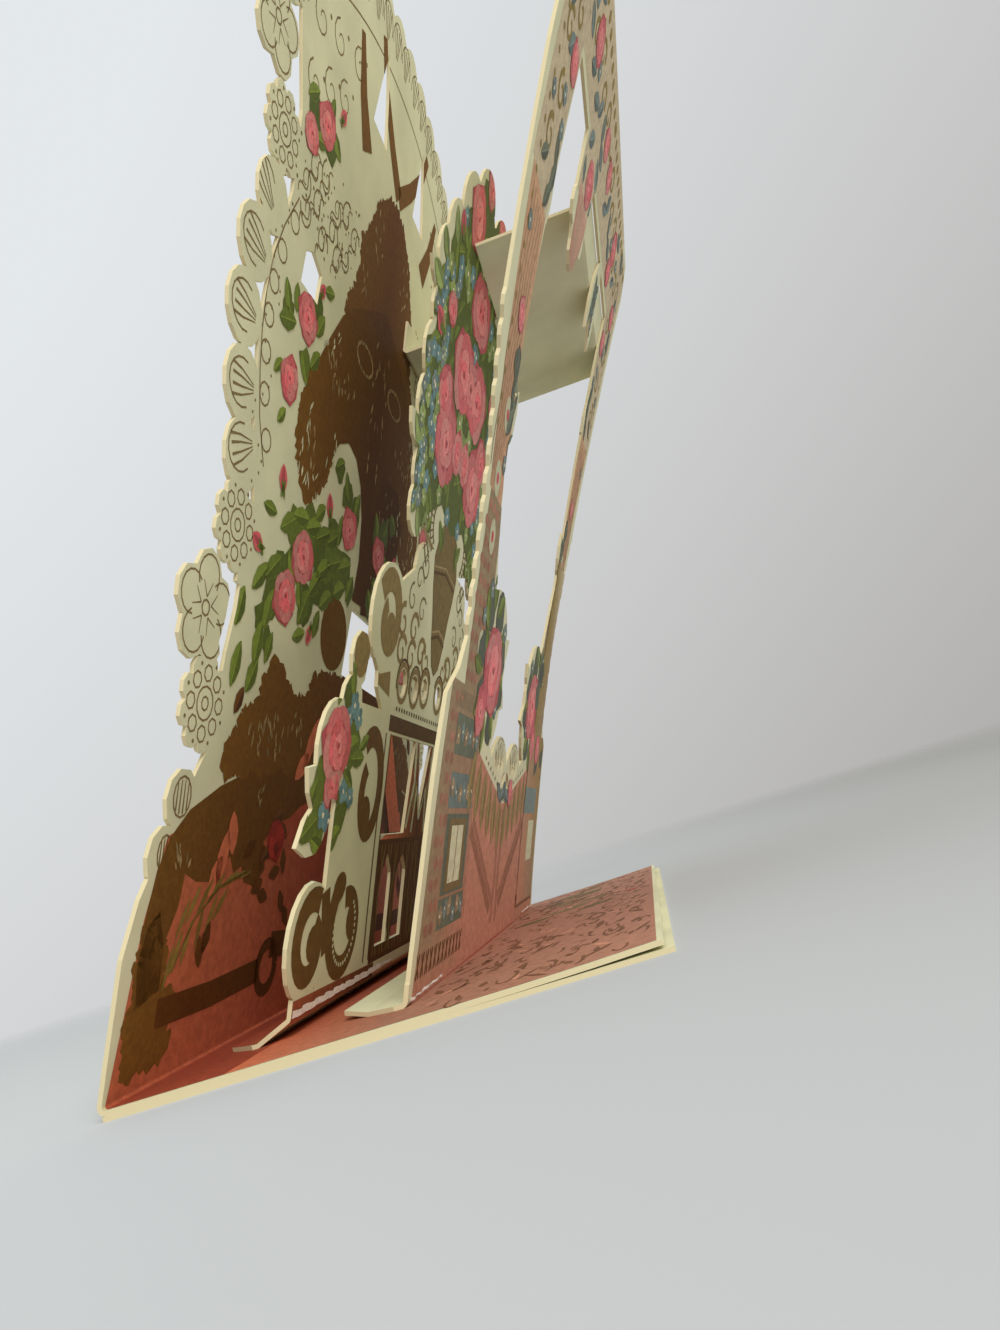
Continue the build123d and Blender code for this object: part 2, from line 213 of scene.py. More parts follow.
def card_stock(name, hex_colour, hex_edge):
    """Uncoated aged card: cream, mottled a little, with a fine fibre tooth and yellower cut edges."""
    material, tree, shader, place = new_material(name, 0.75, 0.5)
    # Foxing and handling marks about 15 mm across
    mottle = add_node(tree, "TexNoise", {"Vector": place}, in_Scale=65.0, in_Detail=4.0)
    tone = add_node(tree, "ValToRGB", {"Fac": mottle.outputs["Fac"]})
    stops = tone.color_ramp.elements
    stops[0].position, stops[1].position = 0.3, 0.7
    stops[0].color, stops[1].color = shade(hex_colour, 0.84), linear(hex_colour)
    # A face is a cut edge where it looks neither out of the leaning sheets nor straight up
    normal = add_node(tree, "NewGeometry").outputs["True Normal"]
    lean = bpy.context.scene.lace_card_sizes.lean
    broadness = []
    for way in ((0, sin(lean), cos(lean)), (0, 0, 1)):
        share = add_node(tree, "VectorMath", {0: normal}, operation="DOT_PRODUCT", in_1=way)
        broadness.append(add_node(tree, "Math", {0: share.outputs["Value"]}, operation="ABSOLUTE"))
    broad = add_node(tree, "Math", {i: node.outputs[0] for i, node in enumerate(broadness)},
                     operation="MAXIMUM")
    cut = add_node(tree, "Math", {0: broad.outputs[0]}, operation="LESS_THAN", in_1=0.9)
    colour = add_node(tree, "Mix", {0: cut.outputs[0], 6: tone.outputs["Color"]}, data_type="RGBA",
                      in_7=linear(hex_edge))
    # Paper fibres are 0.02 mm wide; these are drawn at 0.4 mm so that they show
    fibre = add_node(tree, "TexNoise", {"Vector": place}, in_Scale=2500.0, in_Detail=2.0)
    bump = add_node(tree, "Bump", {"Height": fibre.outputs["Fac"]}, in_Strength=0.15, in_Distance=0.00005)
    tree.links.new(colour.outputs[2], shader.inputs["Base Color"])
    tree.links.new(bump.outputs["Normal"], shader.inputs["Normal"])
    return material


def printed_ink(name):
    """Printer's ink on card: the colour of each shape, broken up by the card's tooth and by wear."""
    roughness, gloss, speckle = INK_FINISHES[name]
    material, tree, shader, place = new_material(name, roughness, gloss)
    ink = add_node(tree, "Attribute", attribute_name="ink")
    grain = add_node(tree, "TexNoise", {"Vector": place}, in_Scale=1.0 / (speckle * MM), in_Detail=3.0,
                     in_Roughness=0.6)
    thin = add_node(tree, "MapRange", {"Value": grain.outputs["Fac"]}, in_From_Min=0.35, in_From_Max=0.7,
                    in_To_Min=0.84, in_To_Max=1.16)
    vary = add_node(tree, "VectorMath", {0: ink.outputs["Color"], 3: thin.outputs["Result"]},
                    operation="SCALE")
    tree.links.new(vary.outputs["Vector"], shader.inputs["Base Color"])
    return material


def floor_material(name):
    """Matt white paper under the card, a little darker behind it as a painted shadow of the card, that
    fades into the backdrop.
    """
    material, tree, shader, place = new_material(name, 0.9, 0.1)
    parts = add_node(tree, "SeparateXYZ", {0: place})
    # Painted shadow of the card: the paper's grey darkens towards negative y
    across = add_node(tree, "MapRange", {"Value": parts.outputs["Y"]}, in_From_Min=-0.2, in_From_Max=0.07)
    tone = add_node(tree, "ValToRGB", {"Fac": across.outputs["Result"]})
    stops = tone.color_ramp.elements
    stops[0].color, stops[1].color = linear("#A5A5A5"), linear("#CBCFD5")
    tree.links.new(tone.outputs["Color"], shader.inputs["Base Color"])
    # The paper shows around the card, and further away it gives way to the backdrop
    away = add_node(tree, "VectorMath", {0: place}, operation="LENGTH")
    fade = add_node(tree, "MapRange", {"Value": away.outputs["Value"]}, interpolation_type="SMOOTHSTEP",
                    in_From_Min=FLOOR_FADE[0], in_From_Max=FLOOR_FADE[1])
    clear = add_node(tree, "BsdfTransparent")
    blend = add_node(tree, "MixShader", {0: fade.outputs["Result"], 1: shader.outputs[0],
                                         2: clear.outputs[0]})
    tree.links.new(blend.outputs[0], tree.nodes["Material Output"].inputs["Surface"])
    return material


def set_backdrop(world):
    """Even warm light from all round, behind a pale grey backdrop that the camera sees, with a painted
    shadow of the card on it.
    """
    world.use_nodes = True
    tree = world.node_tree
    light = tree.nodes["Background"]
    light.inputs["Color"].default_value = linear("#E8E8DF")
    light.inputs["Strength"].default_value = WORLD_STRENGTH
    place = add_node(tree, "TexCoord")
    # The backdrop is darkest towards the front and below, a painted shadow of the card, and palest up
    # behind the card
    slope = add_node(tree, "VectorMath", {0: place.outputs["Generated"]}, operation="DOT_PRODUCT",
                     in_1=(0, 0.595, 0.804))
    spread = add_node(tree, "MapRange", {"Value": slope.outputs["Value"]}, in_From_Min=-0.35,
                      in_From_Max=0.7)
    tone = add_node(tree, "ValToRGB", {"Fac": spread.outputs["Result"]})
    stops = tone.color_ramp.elements
    stops[0].color, stops[1].color = linear("#A8A6A4"), linear("#E4E8EB")
    stops.new(0.48).color = linear("#CACACA")
    seen = add_node(tree, "Background", {"Color": tone.outputs["Color"]}, in_Strength=1.0)
    path = add_node(tree, "LightPath")
    direct = add_node(tree, "Math", {0: path.outputs["Is Camera Ray"], 1: path.outputs["Is Glossy Ray"]},
                      operation="ADD")
    behind = add_node(tree, "Math", {0: direct.outputs[0], 1: path.outputs["Is Transmission Ray"]},
                      operation="ADD", use_clamp=True)
    blend = add_node(tree, "MixShader", {0: behind.outputs[0], 1: light.outputs[0], 2: seen.outputs[0]})
    tree.links.new(blend.outputs[0], tree.nodes["World Output"].inputs["Surface"])


def camera_matrix():
    """Camera fitted to the photograph: its place in mm, and its right, down and forward axes."""
    place = Vector((-215.59, -43.39, 17.73)) * MM
    right = Vector((0.151807, -0.943162, -0.295636))
    down = Vector((0.151156, 0.317737, -0.936053))
    forward = Vector((0.976784, 0.097413, 0.190799))
    turn = Matrix((right, -down, -forward)).transposed().to_4x4()
    return Matrix.Translation(place) @ turn


def make_object(name, mesh, material):
    """Turns a bmesh into an object at the origin, with its material."""
    data = bpy.data.meshes.new(name)
    mesh.to_mesh(data)
    mesh.free()
    data.materials.append(material)
    piece = bpy.data.objects.new(name, data)
    bpy.context.scene.collection.objects.link(piece)
    return piece


def sheet_spot(sheet, across, along, lift):
    """Where a point of a sheet's front is, in metres.

    Across is from the left side edge, along is from the sheet's foot, and lift is off its face, in mm.
    The flap is the middle layer's: along it from its crest, down its slope and back over its glued strip.
    The fold is the small hollow between the base and the panel, from the base up."""
    sizes = bpy.context.scene.lace_card_sizes
    fold = sizes.base_depth / 2
    top = 2 * sizes.card
    x = (across - CENTRE) * MM
    s = along * MM
    off = lift * MM
    rise = sizes.lean
    if sheet == "base":
        sprung = max(0.0, s - sizes.base_depth + sizes.spring_length)
        bow = sizes.spring_length ** 2 / (2 * sizes.base_spring)
        return Vector((x, fold - s, top + off + sprung ** 2 / (2 * bow)))
    if sheet == "fold":
        hollow = sizes.fold_radius - sizes.card / 2
        turn = s / hollow
        return Vector((x, fold - hollow / tan(rise / 2) + (hollow - off) * sin(turn),
                       top + hollow - (hollow - off) * cos(turn)))
    if sheet == "flap":
        crest_y, crest_z = fold - sizes.middle_setback - FLAP_BEFORE, top + FLAP_RISE
        strip_y, strip_z = crest_y + FLAP_SLOPE, top + sizes.card
        slope = hypot(strip_y - crest_y, crest_z - strip_z)
        down = min(1.0, s / slope)
        y = crest_y + (strip_y - crest_y) * down + max(0.0, s - slope)
        return Vector((x, y, crest_z + (strip_z - crest_z) * down + off))
    if sheet == "panel":
        return Vector((x, fold - s * cos(rise) - off * sin(rise), top + s * sin(rise) - off * cos(rise)))
    setback = sizes.middle_setback if sheet == "middle" else sizes.front_setback
    bow = sizes.middle_bow if sheet == "middle" else sizes.front_bow
    turn = rise - s / bow
    y = fold - setback - bow * (sin(rise) - sin(turn)) - off * sin(turn)
    z = top + bow * (cos(turn) - cos(rise)) - off * cos(turn)
    return Vector((x, y, z))


def sheet_finder(sheet):
    """A search tree of the cut sheet that this print lies on."""
    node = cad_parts[PRINTED_NODES.get(sheet, "back_and_base")]
    shape = bmesh.new()
    shape.from_mesh(node.data)
    shape.transform(node.matrix_world)
    tree = BVHTree.FromBMesh(shape)
    shape.free()
    return tree


class Press:
    """Flat print drawn in mm on one sheet, shape over shape, and then laid on that sheet."""

    def __init__(self, sheet):
        self.sheet = sheet
        self.mesh = bmesh.new()
        self.ink = self.mesh.loops.layers.float_color.new("ink")
        self.finder = sheet_finder(sheet)

    def paint(self, faces, colour):
        """Gives whole faces one colour."""
        for face in faces:
            for loop in face.loops:
                loop[self.ink] = colour

    def circle(self, radius, sides, colour):
        """Filled circle round the sheet's origin, as its corners."""
        corners = bmesh.ops.create_circle(self.mesh, cap_ends=True, segments=sides, radius=radius)["verts"]
        self.paint({face for vert in corners for face in vert.link_faces}, colour)
        return corners

    def place(self, corners, x, s, level, angle, stretch=1.0):
        """Turns a shape and moves it to x, s."""
        move = Matrix.Translation((x, s, level)) @ Matrix.Rotation(radians(angle), 4, "Z")
        move = move @ Matrix.Diagonal((1.0, stretch, 1.0, 1.0))
        bmesh.ops.transform(self.mesh, verts=corners, matrix=move)

    def disc(self, x, s, radius, colour, level, stretch=1.0, angle=0.0, sides=12):
        """Round or oval spot."""
        self.place(self.circle(radius, sides, colour), x, s, level, angle, stretch)

    def blob(self, x, s, radius, colour, level, rng, sides=9, rough=0.18):
        """Round shape with an uneven edge."""
        corners = self.circle(radius, sides, colour)
        for vert in corners:
            vert.co *= 1 + rng.uniform(-rough, rough)
        self.place(corners, x, s, level, 0.0)

    def leaf(self, x, s, length, width, angle, colour, level, sides=10):
        """Pointed leaf with its middle at x, s."""
        corners = self.circle(1.0, sides, colour)
        for vert in corners:
            bulge = (1 - vert.co.x ** 2) * width / 2
            vert.co.y = copysign(bulge, vert.co.y) if abs(vert.co.y) > 0.001 else 0.0
            vert.co.x *= length / 2
        self.place(corners, x, s, level, angle)

    def stroke(self, points, width, colour, level, tip=None):
        """Line of print along points, from one width to the tip's."""
        tip = width if tip is None else tip
        verts = [self.mesh.verts.new((x, s, level)) for x, s in points]
        edges = [self.mesh.edges.new(pair) for pair in zip(verts, verts[1:])]
        made = bmesh.ops.extrude_edge_only(self.mesh, edges=edges)["geom"]
        last = len(verts) - 1
        shifts = []
        for index, vert in enumerate(verts):
            ahead = Vector(points[min(index + 1, last)]) - Vector(points[max(index - 1, 0)])
            side = Vector((-ahead.y, ahead.x, 0)).normalized()
            half = (width + (tip - width) * index / last) / 2
            ends = (edge.other_vert(vert) for edge in vert.link_edges)
            twin = next(end for end in ends if (end.co - vert.co).length < TOUCHING)
            shifts.append((vert, twin, side * half))
        for vert, twin, shift in shifts:
            vert.co += shift
            twin.co -= shift
        self.paint([item for item in made if isinstance(item, bmesh.types.BMFace)], colour)

    def ring(self, x, s, radius, steps, width, colour, level):
        """Circle drawn as a line."""
        self.stroke(arc(x, s, radius, 0, 360, steps), width, colour, level)

    def patch(self, points, colour, level, far=None):
        """Filled shape with a straight-sided outline, in one colour or running across to a far one."""
        face = self.mesh.faces.new([self.mesh.verts.new((x, s, level)) for x, s in points])
        self.paint([face], colour)
        if far:
            low, high = min(x for x, _ in points), max(x for x, _ in points)
            for loop in face.loops:
                loop[self.ink] = mix(colour, far, (loop.vert.co.x - low) / (high - low))

    def wash(self, corners, colours, level):
        """Four-sided field whose colour runs from corner to corner."""
        face = self.mesh.faces.new([self.mesh.verts.new((x, s, level)) for x, s in corners])
        for loop, colour in zip(face.loops, colours):
            loop[self.ink] = colour

    def mirror(self):
        """Prints everything drawn so far on the other half too."""
        whole = self.mesh.verts[:] + self.mesh.edges[:] + self.mesh.faces[:]
        copy = bmesh.ops.duplicate(self.mesh, geom=whole)["geom"]
        verts = [item for item in copy if isinstance(item, bmesh.types.BMVert)]
        for vert in verts:
            vert.co.x = 2 * CENTRE - vert.co.x

    def over(self, x, s):
        """Whether there is card under this spot."""
        above = sheet_spot(self.sheet, x, s, CARD_PROBE)
        below = sheet_spot(self.sheet, x, s, -CARD_PROBE)
        return self.finder.ray_cast(above, below - above, (below - above).length)[0] is not None

    def trim(self):
        """Cuts the print off at the die-cut edges and holes of its sheet."""
        mesh = self.mesh
        for _ in range(CUT_ROUNDS):
            long = [edge for edge in mesh.edges if edge.calc_length() > CUT_STEP]
            if not long:
                break
            bmesh.ops.subdivide_edges(mesh, edges=long, cuts=1)
            bmesh.ops.triangulate(mesh, faces=mesh.faces[:])
        held = {vert: self.over(vert.co.x, vert.co.y) for vert in mesh.verts}
        ends = []
        for edge in mesh.edges[:]:
            first, second = edge.verts
            if held[first] == held[second]:
                continue
            kept, lost = (0.0, 1.0) if held[first] else (1.0, 0.0)
            for _ in range(EDGE_HALVINGS):
                half = (kept + lost) / 2
                spot = first.co.lerp(second.co, half)
                if self.over(spot.x, spot.y):
                    kept = half
                else:
                    lost = half
            ends.append(bmesh.utils.edge_split(edge, first, min(1 - EDGE_GAP, max(EDGE_GAP, kept)))[1])
        bmesh.ops.connect_verts(mesh, verts=ends)
        hanging = [face for face in mesh.faces if not self.over(*face.calc_center_median().xy)]
        bmesh.ops.delete(mesh, geom=hanging, context="FACES")
        bmesh.ops.delete(mesh, geom=[vert for vert in mesh.verts if not vert.link_faces], context="VERTS")
        bmesh.ops.triangulate(mesh, faces=mesh.faces[:])

    def lay(self, name, ink):
        """Bends the print to its sheet and makes it an object that rides on the card."""
        mesh = self.mesh
        mesh.normal_update()
        bmesh.ops.triangulate(mesh, faces=mesh.faces[:])
        tall = max(vert.co.y for vert in mesh.verts)
        for step in range(1, ceil(tall / BEND_STEP)):
            bmesh.ops.bisect_plane(mesh, geom=mesh.verts[:] + mesh.edges[:] + mesh.faces[:],
                                   plane_co=(0, step * BEND_STEP, 0), plane_no=(0, 1, 0))
        self.trim()
        bmesh.ops.recalc_face_normals(mesh, faces=mesh.faces[:])
        mesh.normal_update()
        bmesh.ops.reverse_faces(mesh, faces=[face for face in mesh.faces if face.normal.z < 0])
        for vert in mesh.verts:
            vert.co = sheet_spot(self.sheet, *vert.co.xy, FIRST_LEVEL + LEVEL_STEP * vert.co.z)
        if self.sheet == "base":
            bmesh.ops.reverse_faces(mesh, faces=mesh.faces[:])
        piece = make_object(name, mesh, printed_ink(ink))
        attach(piece, "root")


def polar(x, s, radius, angle):
    """The point at a radius and an angle in radians from x, s."""
    return x + radius * cos(angle), s + radius * sin(angle)


def turned(x, s, angle, along=1.0, aside=1.0):
    """A function for the point that lies u along and v aside of x, s, in a frame turned by degrees."""
    a = radians(angle)
    return lambda u, v: (x + u * along * cos(a) - v * aside * sin(a),
                         s + u * along * sin(a) + v * aside * cos(a))


def box(left, low, right, high):
    """Corners of a level rectangle."""
    return [(left, low), (right, low), (right, high), (left, high)]


def coil(x, s, outer, inner, start, end, steps, stretch=1.0):
    """Points on a spiral from its outer to its inner radius, angles in degrees."""
    points = []
    for i in range(steps + 1):
        a = radians(start + (end - start) * i / steps)
        r = outer + (inner - outer) * i / steps
        points.append((x + r * cos(a), s + r * stretch * sin(a)))
    return points


def arc(x, s, radius, start, end, steps, stretch=1.0):
    """Points on an arc."""
    return coil(x, s, radius, radius, start, end, steps, stretch)


def wave(start, end, height, turns, steps):
    """Points on a wavy line between two points."""
    a, b = Vector(start), Vector(end)
    side = Vector((-(b - a).y, (b - a).x)).normalized()
    points = []
    for i in range(steps + 1):
        t = i / steps
        spot = a.lerp(b, t) + side * height * sin(2 * pi * turns * t)
        points.append((spot.x, spot.y))
    return points


def print_each(press, draw, shared, *rows):
    """Draws one shape for each row of its own numbers, with the values that they all share."""
    for row in rows:
        draw(press, *row, *shared)


def print_rose(press, x, s, radius, ink, level, rng):
    """Full rose: a deep ground, rows of pale petals that close on the heart, each with a shaded root."""
    press.blob(x, s, 0.98 * radius, shade(ink, 0.7), level, rng)
    for ring, count, size, light in ((0.57, 5, 0.5, 0.95), (0.31, 4, 0.37, 1.2), (0.1, 2, 0.26, 1.4)):
        turn = rng.uniform(0, 360)
        for i in range(count):
            a = radians(turn + 360 * i / count)
            tone = light * rng.uniform(0.82, 1.12)
            petal = mix(shade(ink, tone), shade(PETAL_LIGHT, 0.9), rng.uniform(0.0, 0.4))
            lie = degrees(a) + 90 + rng.uniform(-25, 25)
            level += 0.12
            out = ring * radius
            press.disc(*polar(x, s, out, a), size * radius, petal, level, 0.7, lie, 9)
            root = (ring - 0.13) * radius
            press.disc(*polar(x, s, root, a), 0.62 * size * radius, shade(ink, 0.76 * tone), level + 0.05,
                       0.45, lie, 7)
    press.blob(x + 0.05 * radius, s, 0.09 * radius, shade(ink, 0.55), level + 0.2, rng, 6)


def print_bud(press, x, s, radius, angle, ink, leaf_ink, level):
    """Closed bud with its sepals and stalk."""
    press.leaf(x, s, 2.2 * radius, 1.5 * radius, angle, linear(ink), level + 1)
    press.leaf(x, s, 1.9 * radius, 0.6 * radius, angle, shade(ink, 0.62), level + 2)
    for spread in (-28, 28):
        press.leaf(*polar(x, s, -0.7 * radius, radians(angle)), 1.6 * radius, 0.5 * radius, angle + spread,
                   shade(leaf_ink, 0.8), level + 3)


def print_leaf(press, x, s, length, angle, ink, level, rng):
    """Rose leaf: a lit half, a shaded half and a pale midrib."""
    full = length * rng.uniform(0.22, 0.29)
    spot = turned(x, s, angle, length / 2, full)
    press.leaf(x, s, length, 2 * full, angle, shade(ink, rng.uniform(0.8, 1.3)), level)
    edge = [spot(u, 0.9 * (u * u - 1)) for u in (-0.6, -0.2, 0.2, 0.6)]
    press.patch([spot(-0.95, 0), *edge, spot(0.95, 0)], shade(ink, rng.uniform(0.5, 0.72)), level + 0.4)
    press.stroke([spot(-0.85, 0), spot(0.85, 0)], 0.2, shade(ink, 1.6), level + 0.8)


def print_forget_me_not(press, x, s, radius, ink, level, rng):
    """Small five-petalled flower with a pale eye."""
    turn = rng.uniform(0, 72)
    for i in range(5):
        a = radians(turn + 72 * i)
        press.disc(*polar(x, s, 0.55 * radius, a), 0.42 * radius, shade(ink, rng.uniform(0.75, 1.3)), level,
                   sides=6)
    press.disc(x, s, 0.2 * radius, linear(FLOWER_EYE), level + 0.5, sides=5)


def print_foliage(press, points, ink, level, rng, size=3.2, far=None):
    """Solid mass of printed foliage: a body, and toothed lumps of leaves along its outline."""
    near, far = linear(ink), linear(far or ink)
    press.patch(points, near, level, far)
    low, high = min(x for x, _ in points), max(x for x, _ in points)
    for (x0, s0), (x1, s1) in zip(points, points[1:] + points[:1]):
        run = hypot(x1 - x0, s1 - s0)
        count = max(1, int(run / (size * 0.5)))
        for i in range(count):
            t = (i + 0.5) / count
            x = x0 + (x1 - x0) * t
            tone = mix(near, far, (x - low) / (high - low))
            press.blob(x, s0 + (s1 - s0) * t, size * rng.uniform(0.3, 0.52), tone,
                       level - rng.uniform(0.1, 0.7), rng, 9, 0.34)


def print_medallion(press, x, s, radius, line, level):
    """Lace medallion: a ringed heart, a ring of eyelets and dots outside them."""
    pen = 0.36
    press.ring(x, s, 0.14 * radius, 8, pen, line, level)
    press.ring(x, s, 0.34 * radius, 12, pen, line, level)
    for i in range(8):
        a = 2 * pi * i / 8
        press.ring(*polar(x, s, 0.6 * radius, a), 0.17 * radius, 7, pen, line, level)
        b = a + pi / 8
        press.disc(*polar(x, s, 0.82 * radius, b), 0.4, line, level, sides=5)


def print_shell(press, x, s, length, width, angle, line, level):
    """Lace lobe: an open shell whose ribs spread towards its outer edge."""
    spot = turned(x, s, angle)
    rim = arc(0, 0, 0.44 * length, -115, 115, 10, 0.46 * width / (0.44 * length))
    press.stroke([spot(u, v) for u, v in rim], 0.36, line, level)
    for spread in (-0.3, -0.12, 0.1, 0.3):
        press.stroke([spot(-0.42 * length, 0.25 * spread * width), spot(0, 0.8 * spread * width),
                      spot(0.32 * length, spread * width)], 0.2, line, level, 0.55)


def print_garland(press, points, loop, line, level):
    """Lace cord along points, with a loop at each of them."""
    press.stroke(points, 0.4, line, level)
    for (x0, s0), (x1, s1) in zip(points, points[1:]):
        run = hypot(x1 - x0, s1 - s0)
        press.ring((x0 + x1) / 2 + loop * (s1 - s0) / run, (s0 + s1) / 2 - loop * (x1 - x0) / run, loop, 10,
                   0.4, line, level)


def print_mass(press, lumps, ink, level, rng):
    """Soft dark bed of leaves that a spray of flowers lies on; on the base, dark blotches of painted shade.
    """
    for x, s, radius in lumps:
        press.blob(x, s, radius, shade(ink, rng.uniform(0.5, 0.75)), level + rng.uniform(0, 0.3), rng, 10,
                   0.25)


def print_flecks(press, fields, ink, level, rng):
    """Upright nicks where the gold ink left the card bare: x, s, half width, half height and count."""
    for x, s, wide, tall, count in fields:
        for _ in range(count):
            press.leaf(
                x + rng.uniform(-wide, wide), s + rng.uniform(-tall, tall), rng.uniform(1.4, 3.4),
                rng.uniform(0.35, 0.9), rng.uniform(50, 130), shade(ink, rng.uniform(0.6, 1.1)), level, 6)


def print_oval(press, x, s, length, width, line, level):
    """Lace oval with upright hatching."""
    press.stroke(arc(x, s, width / 2, 0, 360, 12, length / width), 0.4, line, level)
    for i in range(4):
        v = width * (-0.3 + 0.2 * i)
        reach = 0.42 * length * sqrt(1 - (2 * v / width) ** 2)
        press.stroke([(x + v, s - reach), (x + v, s + reach)], 0.5, line, level, 0.3)


def print_panel_ground(inks):
    """Salmon wash at the foot of the panel, deepening towards the middle with painted shade."""
    rng, press = random.Random(10), Press("panel")
    warm, deep = linear(inks.salmon), shade(inks.ember, 1.1)
    dark = shade(inks.ember, 0.9)
    # Painted shade: the salmon deepens to deep salmon towards the middle of the card
    press.wash([(0.8, 0.2), (45, 0.2), (45, 25), (5, 25)], [warm] * 4, 0)
    press.wash([(5, 25), (45, 25), (45, 48), (9, 37)], [warm, warm, deep, warm], 0)
    press.wash(box(45, 0.2, CENTRE, 25), [warm, deep, dark, warm], 0)
    press.wash([(45, 25), (CENTRE, 25), (CENTRE, 62), (45, 48)], [warm, dark, warm, deep], 0)
    for x, s, length, turn in ((29, 33, 10, 75), (32, 37, 8, 100), (27, 30, 8, 60), (66, 55, 14, 60),
                               (71, 58, 12, 80), (62, 50, 9, 40), (76, 52, 10, 95)):
        press.leaf(x, s, length, 4.2, turn, shade(inks.salmon, rng.uniform(1.15, 1.4)), 2.5)
    press.mirror()
    press.lay("panel_salmon_ground", "salmon_wash_ink")


def print_panel_gold(inks):
    """Gold-brown trees, arches and bands of the back panel, their masses running to dark gold towards the
    middle as painted shade.
    """
    rng, press = random.Random(11), Press("panel")
    gold = inks.gold
    trunk = [(5, 2.6), (4, 9), (5.5, 13), (4.6, 19), (6.5, 24), (9.5, 26), (12, 20), (12, 13.5), (16, 13),
             (15, 9), (17, 5.5), (13, 3.5), (9, 5)]
    print_foliage(press, trunk, gold, 1, rng, 3.6)
    # The arch band, the canopy, the crown arch and the tree top run from gold to dark gold towards the
    # middle, as painted shade
    arch_band = [
        (4.5, 12), (5, 24), (7, 32), (10, 37), (15, 41), (25, 45), (40, 49), (CENTRE, 51), (CENTRE, 46),
        (64, 42), (58, 39.5), (50, 38), (46, 35), (48, 30), (44, 27), (39, 28), (37, 31), (34, 30),
        (32, 33), (28.5, 31), (26, 29), (20, 29.5), (16, 31), (15, 26), (12, 21), (12, 14)]
    press.patch(arch_band, shade(gold, 0.85), 1, shade(inks.bark, 0.9))
    canopy = [(26, 47.5), (25, 51), (29, 54.5), (30, 58), (36, 59), (38, 64), (42, 69), (46, 67),
              (50, 64.5), (55, 62.5), (60, 63.5), (63, 68), (70, 70), (CENTRE, 70), (CENTRE, 50), (60, 50),
              (40, 48.5)]
    print_foliage(press, canopy, gold, 1.5, rng, 3.8, inks.bark)
    press.stroke([(12, 10.5), (30, 10.2), (50, 11)], 4.4, shade(inks.bark, 0.85), 2)
    press.ring(54, 11, 4.4, 16, 2.4, shade(inks.bark, 0.8), 2)
    press.stroke([(55, 15), (62, 14.5), (80, 14), (CENTRE, 14)], 5.0, shade(inks.bark, 0.85), 2)
    crown_arch = [
        (41, 119), (41, 113), (43, 109), (46, 105), (49, 103), (52, 105), (56, 109), (59, 114), (61, 117),
        (64, 121), (70, 123.5), (76, 122), (81, 117), (84, 110), (85, 100), (83, 90), (CENTRE, 90),
        (CENTRE, 164), (80, 161), (72, 157), (64, 153), (58, 148), (52, 140), (48, 134), (44, 128),
        (42, 124)]
    print_foliage(press, crown_arch[:8] + [(60, 122), (50, 132), (45, 129), (42, 124)], gold, 1.5, rng, 4.0)
    press.patch(crown_arch, linear(gold), 2, shade(inks.bark, 0.75))
    tree_top = [(59, 150), (63, 157), (67, 163), (65, 170), (70, 176), (75, 184), (81, 190), (CENTRE, 193),
                (CENTRE, 160), (72, 156), (64, 152)]
    print_foliage(press, tree_top, gold, 1.5, rng, 4.2, inks.bark)
    press.disc(73, 80, 8.6, shade(gold, 0.85), 2, 0.95, 0, 22)
    press.stroke([(88, 196), (79, 204), (70, 214), (66, 223)], 5.5, linear(gold), 2, 3.0)
    press.stroke([(62, 190), (56, 200), (52, 212)], 7.0, linear(gold), 2, 2.5)
    print_flecks(
        press, ((48, 117, 4, 8, 8), (56, 135, 4, 5, 12), (66, 134, 6, 3, 10), (85, 130, 2.5, 10, 8),
        (84, 150, 3, 7, 7), (68, 164, 3, 6, 6), (77, 178, 4, 7, 8), (44, 55, 6, 4, 24), (36, 54, 4, 2.5, 6),
        (56, 57, 4, 3, 8), (14, 34, 3, 2.5, 9), (44, 43, 3, 2, 5)), inks.straw, 3, rng)
    print_flecks(press, ((44, 114, 2.5, 8, 12), (50, 108, 4, 3, 8), (60, 118, 3, 4, 6), (54, 141, 5, 4, 8)),
                 inks.cream, 3, rng)
    for i in range(16):
        a = 2 * pi * i / 16
        press.leaf(75 + 6 * cos(a), 146 + 3.2 * sin(a), 2.6, 0.9, degrees(a) + 90,
                   shade(inks.straw, rng.uniform(0.6, 1.0)), 3, 6)
    for x, s, turn in ((17, 24, 60), (20, 26, 55), (24, 27, 50), (28, 28, 40), (33, 29, 20), (38, 29.5, 5),
                       (23, 22, 75), (19, 20, 70), (27, 24, 60), (16, 19, 65), (30, 25, 45), (14, 17, 70)):
        press.leaf(x, s, 7.5, 1.3, turn, shade(inks.willow, rng.uniform(0.75, 1.15)), 3, 8)
    press.stroke([(15, 16), (21, 23.5), (29, 28), (41, 30)], 0.5, shade(inks.willow, 0.8), 3)
    for x, s, turn in (
            (45, 27, 20), (48, 25, -15), (50, 34, 60), (53, 29, 10), (57, 31, 100), (58, 23, 120),
            (61, 20, -50), (24, 18, 100), (26, 20, 70), (40, 34, 30), (46, 32, 80)):
        press.leaf(x, s, 5.5, 3.0, turn, shade(inks.bark, rng.uniform(0.7, 1.0)), 3, 8)
    press.mirror()
    press.patch([(90, 88), (113, 90), (118, 118), (112, 126), (98, 126), (90, 110)], shade(inks.bark, 0.75),
                2.3)
    print_flecks(press, ((104, 108, 9, 14, 26),), inks.straw, 3, rng)
